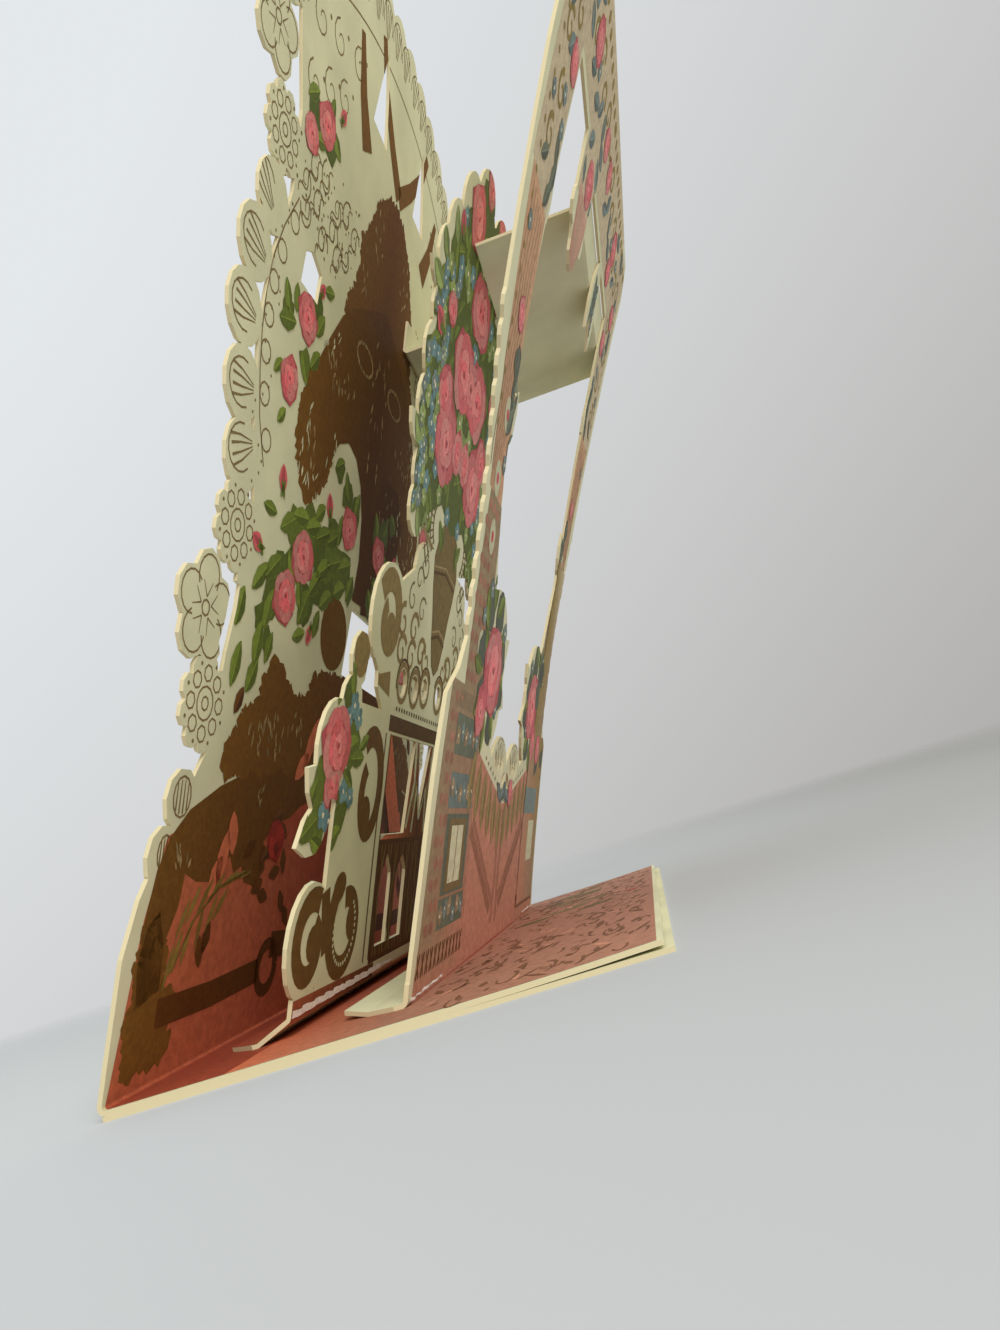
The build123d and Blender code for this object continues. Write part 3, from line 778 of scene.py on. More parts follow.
    # A salmon pillar that shows through the window of the middle layer, painted lighter at its top as
    # painted light
    lit, low = shade(inks.salmon, 1.9), shade(inks.salmon, 1.4)
    press.wash([(114, 63), (128, 63), (147, 35), (134, 35)], [lit, lit, low, low], 3.5)
    press.stroke([(115, 63), (134.5, 35)], 0.9, shade(inks.bark, 0.6), 4)
    press.lay("panel_gold_print", "dull_gold_ink")


def print_panel_lace(inks):
    """Fine brown lace drawing along the die-cut edge and over the crown."""
    rng, press = random.Random(12), Press("panel")
    line = linear(inks.lace_line)
    print_each(press, print_medallion, (8.2, line, 0), (19.7, 89), (15.7, 58), (19.7, 163), (16.5, 195))
    for x, s in ((12, 73), (12, 179)):
        press.ring(x, s, 1.3, 8, 0.4, line, 0)
        for i in range(5):
            a = radians(90 + 72 * i)
            press.stroke(arc(*polar(x, s, 5.2, a), 3.5, degrees(a) - 120, degrees(a) + 120, 10), 0.34, line,
                         0)
            for side in (-0.35, 0.35):
                press.stroke([polar(x, s, 1.8, a), polar(x, s, 4.6, a + side)], 0.3, line, 0, 0.15)
    for x, s, turn in ((14.5, 149, 150), (13.5, 137.5, 170), (12.5, 125, 180), (15, 112.5, 190),
                       (17.5, 102, 205)):
        print_shell(press, x, s, 11, 9, turn, line, 0)
    print_oval(press, 12, 43, 6.4, 5.6, line, 0)
    print_oval(press, 8.6, 34.5, 5.4, 4.2, line, 0)
    print_garland(press, [(27, 102), (23, 110), (21, 118), (20, 125), (20, 132), (21, 139), (24, 147),
                          (29, 156)], 2.1, line, 0)
    for i in range(26):
        press.disc(23 + 2.8 * sin(i * 0.9) + rng.uniform(-0.4, 0.4), 98 + 2.3 * i, 0.34, line, 0, sides=5)
    for x, s in ((33, 156), (38, 160), (42, 155), (47, 160), (51, 156), (56, 160), (35, 166), (41, 168),
                 (48, 166), (54, 168), (31, 161), (60, 166)):
        turn = rng.uniform(0, 360)
        press.stroke(coil(x, s, 3.4, 0.6, turn, turn + 400, 14, 1.2), 0.5, line, 0, 0.3)
        press.stroke(wave((x - 3, s - 4), (x + 3, s + 3), 1.2, 1.5, 10), 0.4, line, 0)
    for _ in range(60):
        press.disc(rng.uniform(26, 62), rng.uniform(152, 174), rng.uniform(0.3, 0.5), line, 0, sides=5)
    for x, s, turn in ((30, 181, 120), (38, 186, 100), (46, 190, 90), (30, 195, 130), (40, 199, 110),
                       (52, 203, 95)):
        press.stroke(coil(x, s, 4.2, 0.8, turn, turn + 420, 14), 0.45, line, 0, 0.3)
        press.disc(x + 4, s + 4, 0.6, line, 0, sides=6)
    crown_top, crown_rise, crown_reach = 230.0, 24.0, 72.0
    radius = (crown_reach ** 2 + crown_rise ** 2) / (2 * crown_rise)
    centre_s = crown_top - radius
    for i in range(9):
        a = radians(90 + 33.5 - 3.9 * i)
        print_shell(press, *polar(CENTRE, centre_s, radius, a), 10, 8, degrees(a), line, 0)
    press.stroke(arc(CENTRE, centre_s, radius - 9.5, 90, 123, 11), 0.45, line, 0)
    press.mirror()
    press.lay("panel_lace_print", "brown_line_ink")


def print_panel_flowers(inks):
    """Sprays of roses on the panel."""
    rng, press = random.Random(13), Press("panel")
    print_mass(
        press, ((40, 85, 4.6), (36, 80, 3.8), (45, 96, 4.4), (52, 98, 4.6), (58, 95, 5), (64, 95, 5),
        (70, 95, 4.6), (76, 95, 4.6), (80, 92, 3.6), (54, 83, 4.2), (60, 88, 4.6), (67, 90, 4.2),
        (33, 76, 2.8), (37, 72, 2.6), (44, 88, 4), (66, 101, 3.6), (72, 112, 3.6), (79, 110, 3.4),
        (66, 116, 2.8), (30, 133, 3.2), (43, 142, 3.2), (40, 128, 3), (40, 176, 4.4), (32, 176, 3.4)),
        inks.green, 3.4, rng)
    for x, s, length, turn in (
            (30, 132, 8.5, 20), (29, 136, 7, 120), (33, 138, 6, 100), (41, 144, 7.5, 70), (46, 139, 7, 60),
            (40, 127, 7, 130), (45, 131, 7, 50), (49, 148, 6, 20), (32, 114, 5, 50), (28, 122, 5, 50),
            (32, 96, 6.5, 0), (41, 96, 9, 30), (47, 99, 9, 10), (54, 99, 9, 20), (60, 99, 9, 25),
            (36, 86, 9, 40), (31, 83, 9, 45), (36, 78, 9, 70), (33, 71, 9, 80), (24, 76, 8, 75),
            (25, 66, 9, 75), (28, 60, 6, 60), (32, 65, 8, 60), (38, 71, 7, 70), (45, 88, 8, 130),
            (53, 82, 10, 60), (52, 76, 7, 20), (62, 92, 10, 30), (68, 95, 10, 20), (75, 96, 10, 20),
            (80, 92, 8, 60), (70, 103, 8, 80), (66, 100, 8, 30), (80, 112, 7, 70), (72, 114, 7, 120),
            (66, 117, 6, 30), (61, 80, 7, 70), (58, 88, 9, 45), (65, 86, 8, 35), (73, 90, 8, 25),
            (57, 103, 7, 40), (50, 84, 7, 110), (48, 33, 6, 30), (55, 37, 6, 150), (52, 40, 5, 20),
            (30, 179, 7, 40), (36, 173, 7, 20), (44, 178, 7, 150), (40, 183, 6, 80)):
        print_leaf(press, x, s, length, turn, inks.green if s > 60 else inks.bark, 4, rng)
    print_each(press, print_rose, (inks.rose, 5, rng), (39, 137, 5.2), (33.5, 122, 4.6), (50, 91.5, 6.0),
               (43, 82, 5.8), (76, 105, 5.4), (38, 178, 5.0), (31, 171, 4.0))
    for x, s, radius, tone in ((52, 35.5, 4.4, 0.9), (50.5, 34, 2, 1.4), (53.5, 36.5, 1.9, 1.2),
                               (52.4, 33.4, 1.4, 0.6)):
        press.blob(x, s, radius, shade(inks.crimson, tone), 5 + 0.2 * (5 - radius), rng)
    print_each(press, print_bud, (inks.rose, inks.green, 5), (36, 103, 2.6, 100), (28, 88.5, 2.4, 160),
               (62, 106, 2.8, 110), (57.5, 77, 2.2, 250), (45, 146, 2.0, 60), (46, 186, 2.2, 60))
    press.mirror()
    press.lay("panel_rose_sprays", "rose_litho_ink")


def print_middle_gold(inks):
    """Gold scrolls, filigree, window and vase of the middle layer."""
    rng, press = random.Random(21), Press("middle")
    scroll, deep = linear(inks.scroll), shade(inks.scroll, 0.75)
    olive, vase_ink = linear(inks.olive), shade(inks.olive, 0.75)
    line, pale = shade(inks.lace_line, 0.9), shade(inks.cream, 0.8)
    foot, dim = shade(inks.salmon, 0.8), shade(inks.bark, 0.9)
    # Painted shade at the foot of the layer above its crease: dusky salmon running to dark gold
    press.wash([(13, 0), (62, 0), (62, 4.9), (13, 5.6)], [foot, dim, dim, foot], 0)
    press.stroke(coil(22.9, 13.6, 7.2, 3.6, 62, 420, 24), 4.2, scroll, 1, 3.0)
    press.disc(24.4, 13.4, 3.0, scroll, 1.2, sides=14)
    press.stroke(coil(40.4, 14.4, 8.6, 5.0, 128, 462, 26), 4.4, scroll, 1, 3.8)
    press.disc(44.8, 15.0, 3.6, scroll, 1.2, sides=14)
    press.disc(35.5, 21.5, 3.4, scroll, 1.2, 0.75, 20, 14)
    press.stroke([(28.3, 21.5), (29.5, 17), (31, 11)], 4.0, scroll, 1)
    for i in range(26):
        a = radians(120 + 11.5 * i)
        press.disc(*polar(40.3, 13.8, 6.0, a), 0.45, shade(inks.cream, 0.9), 3, sides=5)
    press.stroke(coil(46.9, 38.4, 8.0, 4.2, 130, -228, 26, 1.35), 4.2, scroll, 1, 3.4)
    press.disc(45.3, 34.0, 3.5, scroll, 1.2, sides=14)
    press.stroke(coil(47.2, 71.5, 7.6, 3.0, 150, -230, 24, 1.1), 5.0, olive, 1, 3.2)
    press.disc(48.5, 69.5, 3.6, olive, 1.2, sides=14)
    press.disc(33, 62.5, 4.4, olive, 1.2, sides=14)
    press.patch([(39, 57), (45, 58.5), (53, 57), (52, 62), (45, 60.5), (40, 62)], olive, 1)
    press.stroke([(55.5, 52.2), (CENTRE, 52.2)], 3.2, deep, 1)
    for x in (54.2, 57.6):
        press.stroke([(x, 6), (x, 50)], 0.7, deep, 1)
    night, dusk = shade(inks.bark, 0.7), linear(inks.bark)
    press.wash(box(58, 5, CENTRE, 29), [night, dusk, dusk, night], 0)
    press.wash(box(58, 29, CENTRE, 50), [shade(inks.salmon, 1.5), dusk, night, shade(inks.salmon, 1.7)], 0)
    press.wash(
        [(59, 30), (71, 30), (70, 49.6), (59, 49.6)], [shade(inks.salmon, light) for light in (1.5, 1.1,
        1.3, 1.7)], 1)
    for x in range(60, 88, 5):
        press.stroke([(x, 6), (x + 2.4, 17), (x, 28)], 1.0, shade(inks.scroll, 1.3), 1.5)
        press.stroke([(x + 2.4, 6), (x, 17), (x + 2.4, 28)], 0.7, shade(inks.olive, 0.8), 1.8)
    print_each(press, print_leaf, (inks.olive, 1.5, rng), (61, 34, 6, 70), (72, 46, 8, 150),
               (83, 38, 8, 80), (80, 46, 7, 20))
    press.stroke([(77, 31), (81, 41), (79.5, 50)], 1.6, pale, 2.6)
    press.stroke([(82, 30), (84, 40), (88, 33)], 1.4, pale, 2.6)
    for x, s in ((62, 61), (72, 61), (81, 62)):
        press.ring(x, s, 3.9, 16, 1.2, olive, 1)
        press.stroke(arc(x, s, 4.9, 20, 200, 10), 0.5, deep, 1.5)
    for x, s, turn in ((58, 67, 30), (66, 67, 40), (74, 69, 10), (66, 73, 20), (57, 73, 80), (79, 68, 110)):
        press.stroke(coil(x, s, 3.9, 0.9, turn, turn + 400, 14), 1.3, olive, 1.4, 0.6)
    for i in range(14):
        press.disc(59.5 + 2.1 * i, 55.4, 0.55, deep, 1.6, sides=6)
    vase = [(CENTRE, 66), (84.5, 68), (82, 73), (80, 80), (77.5, 86), (76, 92), (79, 99), (CENTRE, 106)]
    press.patch(vase, vase_ink, 2)
    for x, s, end in ((81.5, 74, 75.5), (77, 88.5, 90.5)):
        press.stroke([(x, s), (CENTRE, end)], 0.7, deep, 3)
        press.stroke([(x, s + 1.4), (CENTRE, end + 1.4)], 0.5, linear(inks.straw), 3)
    for radius in (6, 8.5, 11, 13.5):
        press.stroke(arc(77, 99, radius, 120, 235, 10), 0.8, line, 1)
    for i in range(9):
        a = radians(124 + 13 * i)
        press.stroke([polar(77, 99, 5.4, a), polar(77, 99, 14.5, a)], 0.45, line, 1)
    for x, s, turn in ((66, 84, 0), (71, 78, 40), (62, 79, 90), (70, 88, 180)):
        press.stroke(coil(x, s, 3.4, 0.7, turn, turn + 380, 12), 0.6, line, 1, 0.3)
    press.mirror()
    press.lay("middle_gold_scrolls", "bronze_powder_gold")


def print_middle_flap(inks):
    """Dusky salmon on top of the middle layer's glued flap, darkened as painted shade under the layer."""
    press = Press("flap")
    root, strip = shade(inks.salmon, 0.8), shade(inks.ember, 0.9)
    press.wash(box(10, 0.1, CENTRE, 13), [root, root, strip, strip], 0)
    press.mirror()
    press.lay("middle_flap_print_and_shade", "salmon_litho_ink")


def print_middle_flowers(inks):
    """Rose posies at the sides of the middle layer and the tall bouquet."""
    rng, press = random.Random(22), Press("middle")
    press.patch([(50, 96), (50, 120), (52, 140), (60, 158), (70, 172), (80, 182), (CENTRE, 184),
                 (CENTRE, 100), (76, 104), (64, 98)], shade(inks.green, 0.55), 3)
    print_mass(
        press, ((20, 33, 4), (30, 34, 4), (33, 46, 4), (28, 56, 4), (20, 40, 4), (52, 112, 5), (51, 128, 5),
        (53, 144, 4.5), (58, 156, 5), (66, 166, 5), (76, 178, 5), (60, 98, 5)), inks.green, 3.2, rng)
    print_each(press, print_leaf, (inks.green, 4, rng), (16, 32, 9, 25), (21, 29, 8, 160), (28, 30, 8, 30),
               (16, 37, 7, 60), (33, 46, 8, 20), (37, 44, 8, 5), (27, 58, 8, 30), (24, 55, 6, 80),
               (33, 40, 7, 150), (40, 47, 6, 30), (30, 57, 6, 110))
    print_each(press, print_forget_me_not, (inks.blue, 5, rng), (22, 34, 2.8), (25, 33, 2.4), (32, 53, 2.8),
               (35, 51, 2.4), (30, 51, 2.2), (31, 38, 2.4), (35, 37, 2.2))
    print_rose(press, 25.2, 45.5, 7.6, inks.rose, 6, rng)
    print_rose(press, 24.5, 38.5, 3.8, inks.rose, 6, rng)
    for i in range(74):
        x = rng.uniform(48, 88)
        s = rng.uniform(94, 184)
        edge = 50 if s < 150 else 50 + (s - 150) * 0.9
        if x > edge - 1:
            print_leaf(press, x, s, rng.uniform(5, 9), rng.uniform(20, 160), inks.green, 4, rng)
    print_each(press, print_leaf, (inks.leaf_light, 4.6, rng), (50, 111, 9, 150), (48, 144, 9, 170),
               (54, 98, 8, 60), (58, 94, 8, 120), (63, 95, 8, 80), (50, 152, 8, 140), (56, 160, 8, 120))
    for x, s, radius in (
        (57, 124, 3.4), (60, 127, 3.2), (53, 120, 2.8), (58, 116, 3.2), (61, 112, 3.2), (56, 108, 3.0),
        (60, 104, 2.8), (54, 103, 2.4), (82, 126, 3.4), (86, 123, 3.0), (72, 105, 2.6), (82, 103, 2.6),
        (64, 155, 3.0), (70, 157, 3.4), (75, 159, 3.0), (73, 154, 2.6), (58, 150, 2.6), (87, 146, 2.8),
        (84, 165, 3.2), (80, 168, 2.8), (62, 166, 2.4), (66, 109, 2.6), (52, 130, 2.4), (53, 146, 2.2),
    ):
        print_forget_me_not(press, x, s, radius, inks.blue if rng.random() > 0.35 else inks.leaf_light, 5,
                            rng)
    for i in range(46):
        x, s = 49 + 14 * rng.random() ** 1.3, 98 + 1.2 * i
        print_forget_me_not(press, x + max(0.0, s - 145) * 0.5, s, rng.uniform(1.8, 2.8),
                            (inks.blue, inks.lagoon, inks.leaf_light)[i % 3], 5.2, rng)
    print_each(
        press, print_rose, (inks.rose, 6, rng), (79, 137, 10.5), (72, 117, 10.5), (86, 157, 8.5),
        (66, 126, 6.5), (84, 119, 5.5), (72, 172, 8.0), (87, 137, 7.0), (80, 185, 5.0), (62, 144, 4.0))
    print_each(press, print_bud, (inks.rose, inks.green, 6), (54, 137, 3.6, 160), (60, 163, 2.8, 120),
               (86, 173, 2.8, 70))
    press.mirror()
    press.lay("middle_bouquets", "chromo_litho_ink")


def print_bricks(press, left, low, rows, columns, slant, ink, rng):
    """Bond of rounded bricks with its lower left brick at left, low."""
    course, pitch, bond = 3.4, 3.5, 1.6
    for row in range(rows):
        for column in range(columns):
            x = left + slant * course * row + pitch * column + bond * (row % 2)
            press.disc(x, low + course * row, 1.45, shade(ink, rng.uniform(0.75, 1.05)), 1, 0.75, 0, 8)


def print_arch_panels(inks):
    """Ground colours of the front arch: brick borders, teal frames, salmon curtains and the fence."""
    rng, press = random.Random(31), Press("front")
    salmon, brown, buff = linear(inks.fence), shade(inks.fence, 0.75), linear(inks.tan)
    curtain, sand = linear(inks.curtain), shade(inks.sand, 0.85)
    press.wash([(15, 0.1), (52, 0.1), (52, 9), (17, 9)], [salmon, salmon, salmon, buff], 0)
    press.wash([(17, 9), (52, 9), (50, 50), (21, 50)], [buff, brown, buff, buff], 0)
    press.wash([(50, 0.1), (CENTRE, 0.1), (CENTRE, 30), (50, 40)],
               [salmon, shade(inks.fence, 1.05), salmon, salmon], 0)
    press.wash([(30.5, 50), (50, 50), (43, 85), (30, 85)], [buff] * 4, 0)
    press.wash([(28.5, 85), (41, 85), (36, 140), (18.5, 140)], [shade(inks.curtain, 0.8)] + [curtain] * 3,
               0)
    press.wash([(17, 140), (36, 140), (38, 201), (16, 201)], [sand, sand, shade(inks.sand, 0.75), sand], 0)
    press.wash([(36, 178), (CENTRE, 178), (CENTRE, 203), (34, 203)], [sand] * 3 + [shade(inks.sand, 0.95)],
               0)
    print_bricks(press, 20.5, 10, 12, 2, 0.1, inks.brick, rng)
    print_bricks(press, 31.8, 52, 10, 3, -0.05, inks.brick, rng)
    for low, high, ink in ((9, 14, inks.teal), (29, 35, inks.lagoon), (38, 45, inks.teal)):
        full, thin = linear(ink), shade(ink, 0.75)
        press.wash(box(28, low, 49, high), [full, thin, thin, full], 1)
        for i in range(6):
            print_forget_me_not(press, 30 + 3.5 * i, (low + high) / 2 + rng.uniform(-0.8, 0.8), 1.9,
                                inks.lagoon if i % 2 else inks.tan, 2, rng)
    press.patch(box(28.5, 14.5, 48, 28), shade(inks.teal, 0.8), 1)
    press.patch(box(31, 15, 45.5, 27.2), shade(inks.olive, 0.75), 2)
    press.patch(box(33, 16.3, 43.2, 26), shade(inks.cream, 0.9), 3)
    press.stroke([(38.1, 16.3), (38.1, 26)], 0.5, shade(inks.straw, 0.8), 4)
    press.patch([(28, 46), (50, 46), (48, 49), (28, 49)], shade(inks.tan, 0.8), 1)
    for x, s in ((34, 88), (37, 78), (40, 58), (34, 100)):
        press.disc(x, s, 2.6, shade(inks.cream, 0.75), 2, 1.3, 20, 12)
        press.disc(x, s, 1.2, shade(inks.rose, 0.85), 3, sides=6)
    for i in range(12):
        x = 16.5 + 3 * i
        press.stroke([(x, 3.2), (x + 1.6, 6.8)], 0.8, linear(inks.bark), 1)
        press.stroke([(x + 1.6, 3.2), (x, 6.8)], 0.5, linear(inks.bark), 1)
    for i in range(6):
        press.stroke(wave((26.5 + 1.7 * i, 88), (22 + 2.3 * i, 138), 0.5, 3, 14), 0.45,
                     shade(inks.curtain, 0.6), 1)
    for i in range(30):
        t = i / 30
        x, s = 52 + 31 * t, 26 - 18 * t
        press.stroke([(x, s), (x - 1.2, s - 2.2)], 0.5, shade(inks.bark, 1.2), 1)
        press.stroke([(x + 0.6, s), (x + 1.4, s + 1.6)], 0.4, shade(inks.bark, 1.2), 1)
    for x in (84.5, 86):
        press.stroke(wave((x, 4), (x + 0.5, 29), 0.4, 2, 12), 0.4, shade(inks.bark, 1.1), 1)
    for x, s, length, turn in ((60, 8, 8, 20), (66, 15, 7, 60), (72, 22, 8, 30), (58, 30, 8, 150),
                               (66, 31, 7, 20)):
        press.leaf(x, s, length, 3.4, turn, shade(inks.fence, rng.uniform(0.75, 1.25)), 0.6)
    # The frill's fans: cream with a grey line between their slots
    for i in range(6):
        a = radians(62 + 11.5 * i)
        for radius in (3.6, 8.6):
            press.disc(*polar(77, 35.5, radius, a), 0.35, shade(inks.lace_line, 1.1), 1, sides=5)
        press.stroke([polar(77, 35.5, 4.2, a), polar(77, 35.5, 8, a)], 0.35, linear(inks.lagoon), 1, 0.2)
    press.mirror()
    # The far border is olive and buff where the near one is brick and teal
    low = [shade(inks.fence, 1.1), linear(inks.tan), shade(inks.willow, 1.15), shade(inks.tan, 1.15)]
    press.wash([(126, 4), (159, 4), (157, 50), (126, 50)], low, 5)
    high = [shade(inks.willow, 1.2), shade(inks.tan, 1.1), shade(inks.sand, 0.9), shade(inks.willow, 1.25)]
    press.wash([(130, 50), (148, 50), (154, 100), (137, 100)], high, 5)
    press.patch(box(138, 15, 150, 26), shade(inks.cream, 0.85), 6)
    press.patch(box(126, 28, 150, 35), shade(inks.lagoon, 1.1), 6)
    print_mass(press, ((128, 60, 4), (133, 66, 3.6), (142, 42, 3.6), (152, 44, 3)), inks.teal, 6, rng)
    press.lay("arch_colour_fields", "salmon_litho_ink")


def print_arch_gold(inks):
    """Gold scallop tongues and lace of the fence, and the olive ornament of the posts and head."""
    press = Press("front")
    dim, line = shade(inks.olive, 0.75), shade(inks.lace_line, 0.9)
    for i in range(6):
        x, s = 47 + 7.4 * i, 34 - 1.7 * i
        turn = 262 + 3 * i
        press.leaf(x, s, 12, 6.2, turn, shade(inks.olive, 1.25), 2, 12)
        press.leaf(x + 0.8, s, 9, 1.7, turn, dim, 2.4, 8)
    for i in range(9):
        press.disc(60 + 3.4 * i, 39 - 0.9 * i, 0.5, line, 2.6, sides=5)
    for x, s, turn in (
            (26, 150, 80), (28, 160, 100), (24, 170, 60), (30, 178, 90), (34, 188, 40), (26, 190, 20),
            (46, 188, 0), (56, 192, 10), (66, 190, -10), (76, 193, 0), (84, 190, 20)):
        press.stroke(coil(x, s, 3.6, 0.9, turn, turn + 400, 14), 1.3, shade(inks.willow, 1.15), 2, 0.6)
    for i in range(15):
        press.disc(20 + 4.8 * i, 199, 1.3, shade(inks.willow, 1.2), 2, sides=8)
    for i in range(22):
        press.disc(27 - 0.55 * i if i < 12 else 20.4 - 0.1 * (i - 12), 96 + 4.4 * i, 0.75,
                   shade(inks.willow, 1.2), 2, sides=6)
    press.mirror()
    press.lay("arch_gold_print", "bronze_powder_gold")


def print_arch_flowers(inks):
    """Roses and leaves on the posts, the fence and the head of the front arch."""
    rng, press = random.Random(33), Press("front")
    print_mass(press, ((46, 66, 4), (56, 67, 4.4), (64, 60, 4), (66, 52, 3.6), (58, 45, 4), (46, 50, 4.4),
                       (42, 58, 3.6), (37, 104, 3.4), (35, 110, 2.8)), inks.teal, 3.4, rng)
    for x, s, length, turn in (
            (43, 66, 9, 120), (49, 71, 9, 100), (56, 69, 8, 40), (62, 63, 8, 20), (66, 55, 7, -20),
            (60, 46, 8, -50), (52, 43, 8, -100), (44, 48, 8, 210), (40, 55, 8, 170), (46, 60, 7, 130),
            (37, 100, 8, 60), (38, 106, 8, 100), (36, 111, 7, 130), (40, 96, 7, 70), (33, 143, 8, 60),
            (35, 148, 8, 75), (34, 153, 8, 110), (25, 146, 7, 40)):
        print_leaf(press, x, s, length, turn, inks.green if s < 80 else inks.teal, 4, rng)
    print_each(press, print_leaf, (inks.lagoon, 4, rng), (84, 32, 6, 20), (80, 33, 6, 150), (87, 33, 5, 80),
               (60, 184, 8, 20), (78, 184, 8, 160), (66, 187, 7, 60), (44, 196, 8, 10), (30, 198, 8, 30),
               (24, 186, 8, 100), (22, 176, 8, 80), (28, 170, 7, 50), (40, 186, 7, 150), (50, 184, 7, 20),
               (74, 188, 7, 110))
    print_rose(press, 55.5, 56, 9.4, inks.rose, 5, rng)
    print_each(press, print_rose, (inks.rose, 5, rng), (47, 47, 5.0), (33, 170, 4.2), (50, 190, 4.6),
               (82, 190, 4.2), (26, 182, 3.8), (31, 118, 3.2))
    print_each(press, print_forget_me_not, (inks.lagoon, 5, rng), (64, 65, 2.4), (63, 49, 2.2),
               (44, 70, 2.2), (40, 64, 2.0), (38, 92, 2.0), (34, 157, 2.2), (31, 162, 2.2), (56, 188, 2.2),
               (40, 191, 2.2), (22, 156, 2.0), (24, 132, 2.0))
    press.mirror()
    print_rose(press, 97, 33, 3.4, inks.rose, 6, rng)
    print_each(press, print_rose, (inks.rose, 8, rng), (141, 46, 4.4), (130, 171, 4.6), (124, 182, 4.0))
    press.lay("arch_rose_sprays", "chromo_litho_ink")


def print_tassel(inks):
    """The rose tassel that hangs from the head, and the spray of leaves that droops at its other side."""
    rng, press = random.Random(34), Press("front")
    press.wash(box(60, 164, 80, 180), [shade(inks.sand, 0.9)] * 4, 0)
    print_each(press, print_leaf, (inks.lagoon, 2, rng), (64, 178, 8, 40), (78, 179, 8, 140),
               (63, 170, 6, 120), (79, 171, 6, 60))
    for i in range(13):
        x = 62.5 + 1.35 * i
        tone = shade(inks.rose, rng.uniform(0.85, 1.2))
        press.stroke([(x, 167), (70.5 + 0.6 * (x - 70.5), 150 + 0.03 * (x - 70.5) ** 2)], 0.7,
                     mix(tone, shade(inks.cream, 0.8), 0.35), 1, 0.4)
    print_rose(press, 72, 172.5, 5.6, inks.rose, 3, rng)
    for i in range(9):
        s = 153 + 2.2 * i
        for side, x in ((-1, 111.6), (1, 112.4)):
            print_leaf(press, x + 1.4 * side, s, 4.6, 90 - side * 50, inks.lagoon if i % 2 else inks.teal,
                       2, rng)
    press.stroke([(112, 151), (112.3, 160), (112, 171)], 0.5, shade(inks.teal, 0.8), 1)
    press.lay("arch_tassel_print", "chromo_litho_ink")


def print_fold(inks):
    """Deep salmon carried through the fold between the base and the panel, running from the base's red
    painted shade to the panel's salmon.
    """
    press = Press("fold")
    sizes = bpy.context.scene.lace_card_sizes
    reach = (sizes.fold_radius - sizes.card / 2) * (pi - sizes.lean) / MM
    red, warm = shade(inks.ember, 0.85), linear(inks.salmon)
    for i in range(5):
        low, high = reach * i / 5, reach * (i + 1) / 5
        first, second = mix(red, warm, i / 5), mix(red, warm, (i + 1) / 5)
        press.wash(box(0.8, low, CENTRE, high), [first, first, second, second], 0)
    press.mirror()
    press.lay("fold_salmon_print", "salmon_litho_ink")


def print_base(inks):
    """Salmon base: red by the fold and deepest towards the middle as painted shade, paler to the front,
    lighter under the middle layer's crease and at the near front corner as painted light, and brown stipple
    in front of the arch.
    """
    rng, press = random.Random(41), Press("base")
    red, deep = shade(inks.ember, 0.85), shade(inks.ember, 0.65)
    blush, lit_near_front = shade(inks.blush, 0.9), shade(inks.blush, 1.05)
    margin, front = 0.8, 79.2
    # Painted shade reddens the base by the fold and towards the middle; painted light pales its near end
    # under the middle layer's crease and its near front corner
    press.wash(box(margin, 0.2, CENTRE, 18), [red, deep, deep, red], 0)
    press.wash(box(margin, 18, CENTRE, 42), [shade(inks.salmon, 1.3), red, red, blush], 0)
    press.wash(box(margin, 42, CENTRE, front), [blush, blush, blush, lit_near_front], 0)
    ink, pale = mix(linear(inks.bark), blush, 0.25), shade(inks.blush, 1.4)
    for i in range(170):
        x, s = rng.uniform(margin + 3, CENTRE), rng.uniform(43.5, front - 1.5)
        turn = rng.uniform(0, 360)
        if i % 3 == 0:
            press.stroke(arc(x, s, rng.uniform(2.0, 5.5), turn, turn + rng.uniform(100, 240), 7, 0.3),
                         rng.uniform(0.4, 0.8), ink, 1.5, 0.3)
        elif i % 3 == 1:
            press.leaf(x, s, rng.uniform(2, 5), rng.uniform(0.8, 1.5), rng.uniform(-25, 25),
                       mix(linear(inks.bark), blush, rng.uniform(0.1, 0.6)), 1, 8)
        else:
            press.leaf(x, s, rng.uniform(3, 8), rng.uniform(0.7, 1.6), rng.uniform(-35, 35),
                       ink if i % 4 else pale, 1.2, 8)
    press.mirror()
    # Dark olive blotches on the far part of the base behind the arch, as painted shade
    print_mass(press, ((96, 66, 4), (108, 58, 5), (118, 64, 4), (128, 58, 5), (143, 60, 5), (150, 54, 5),
                       (160, 60, 4), (136, 52, 4), (100, 50, 4)), inks.olive, 0.7, rng)
    press.blob(104, 74, 1.6, shade(inks.crimson, 1.2), 1.5, rng)
    press.lay("base_salmon_print", "salmon_litho_ink")


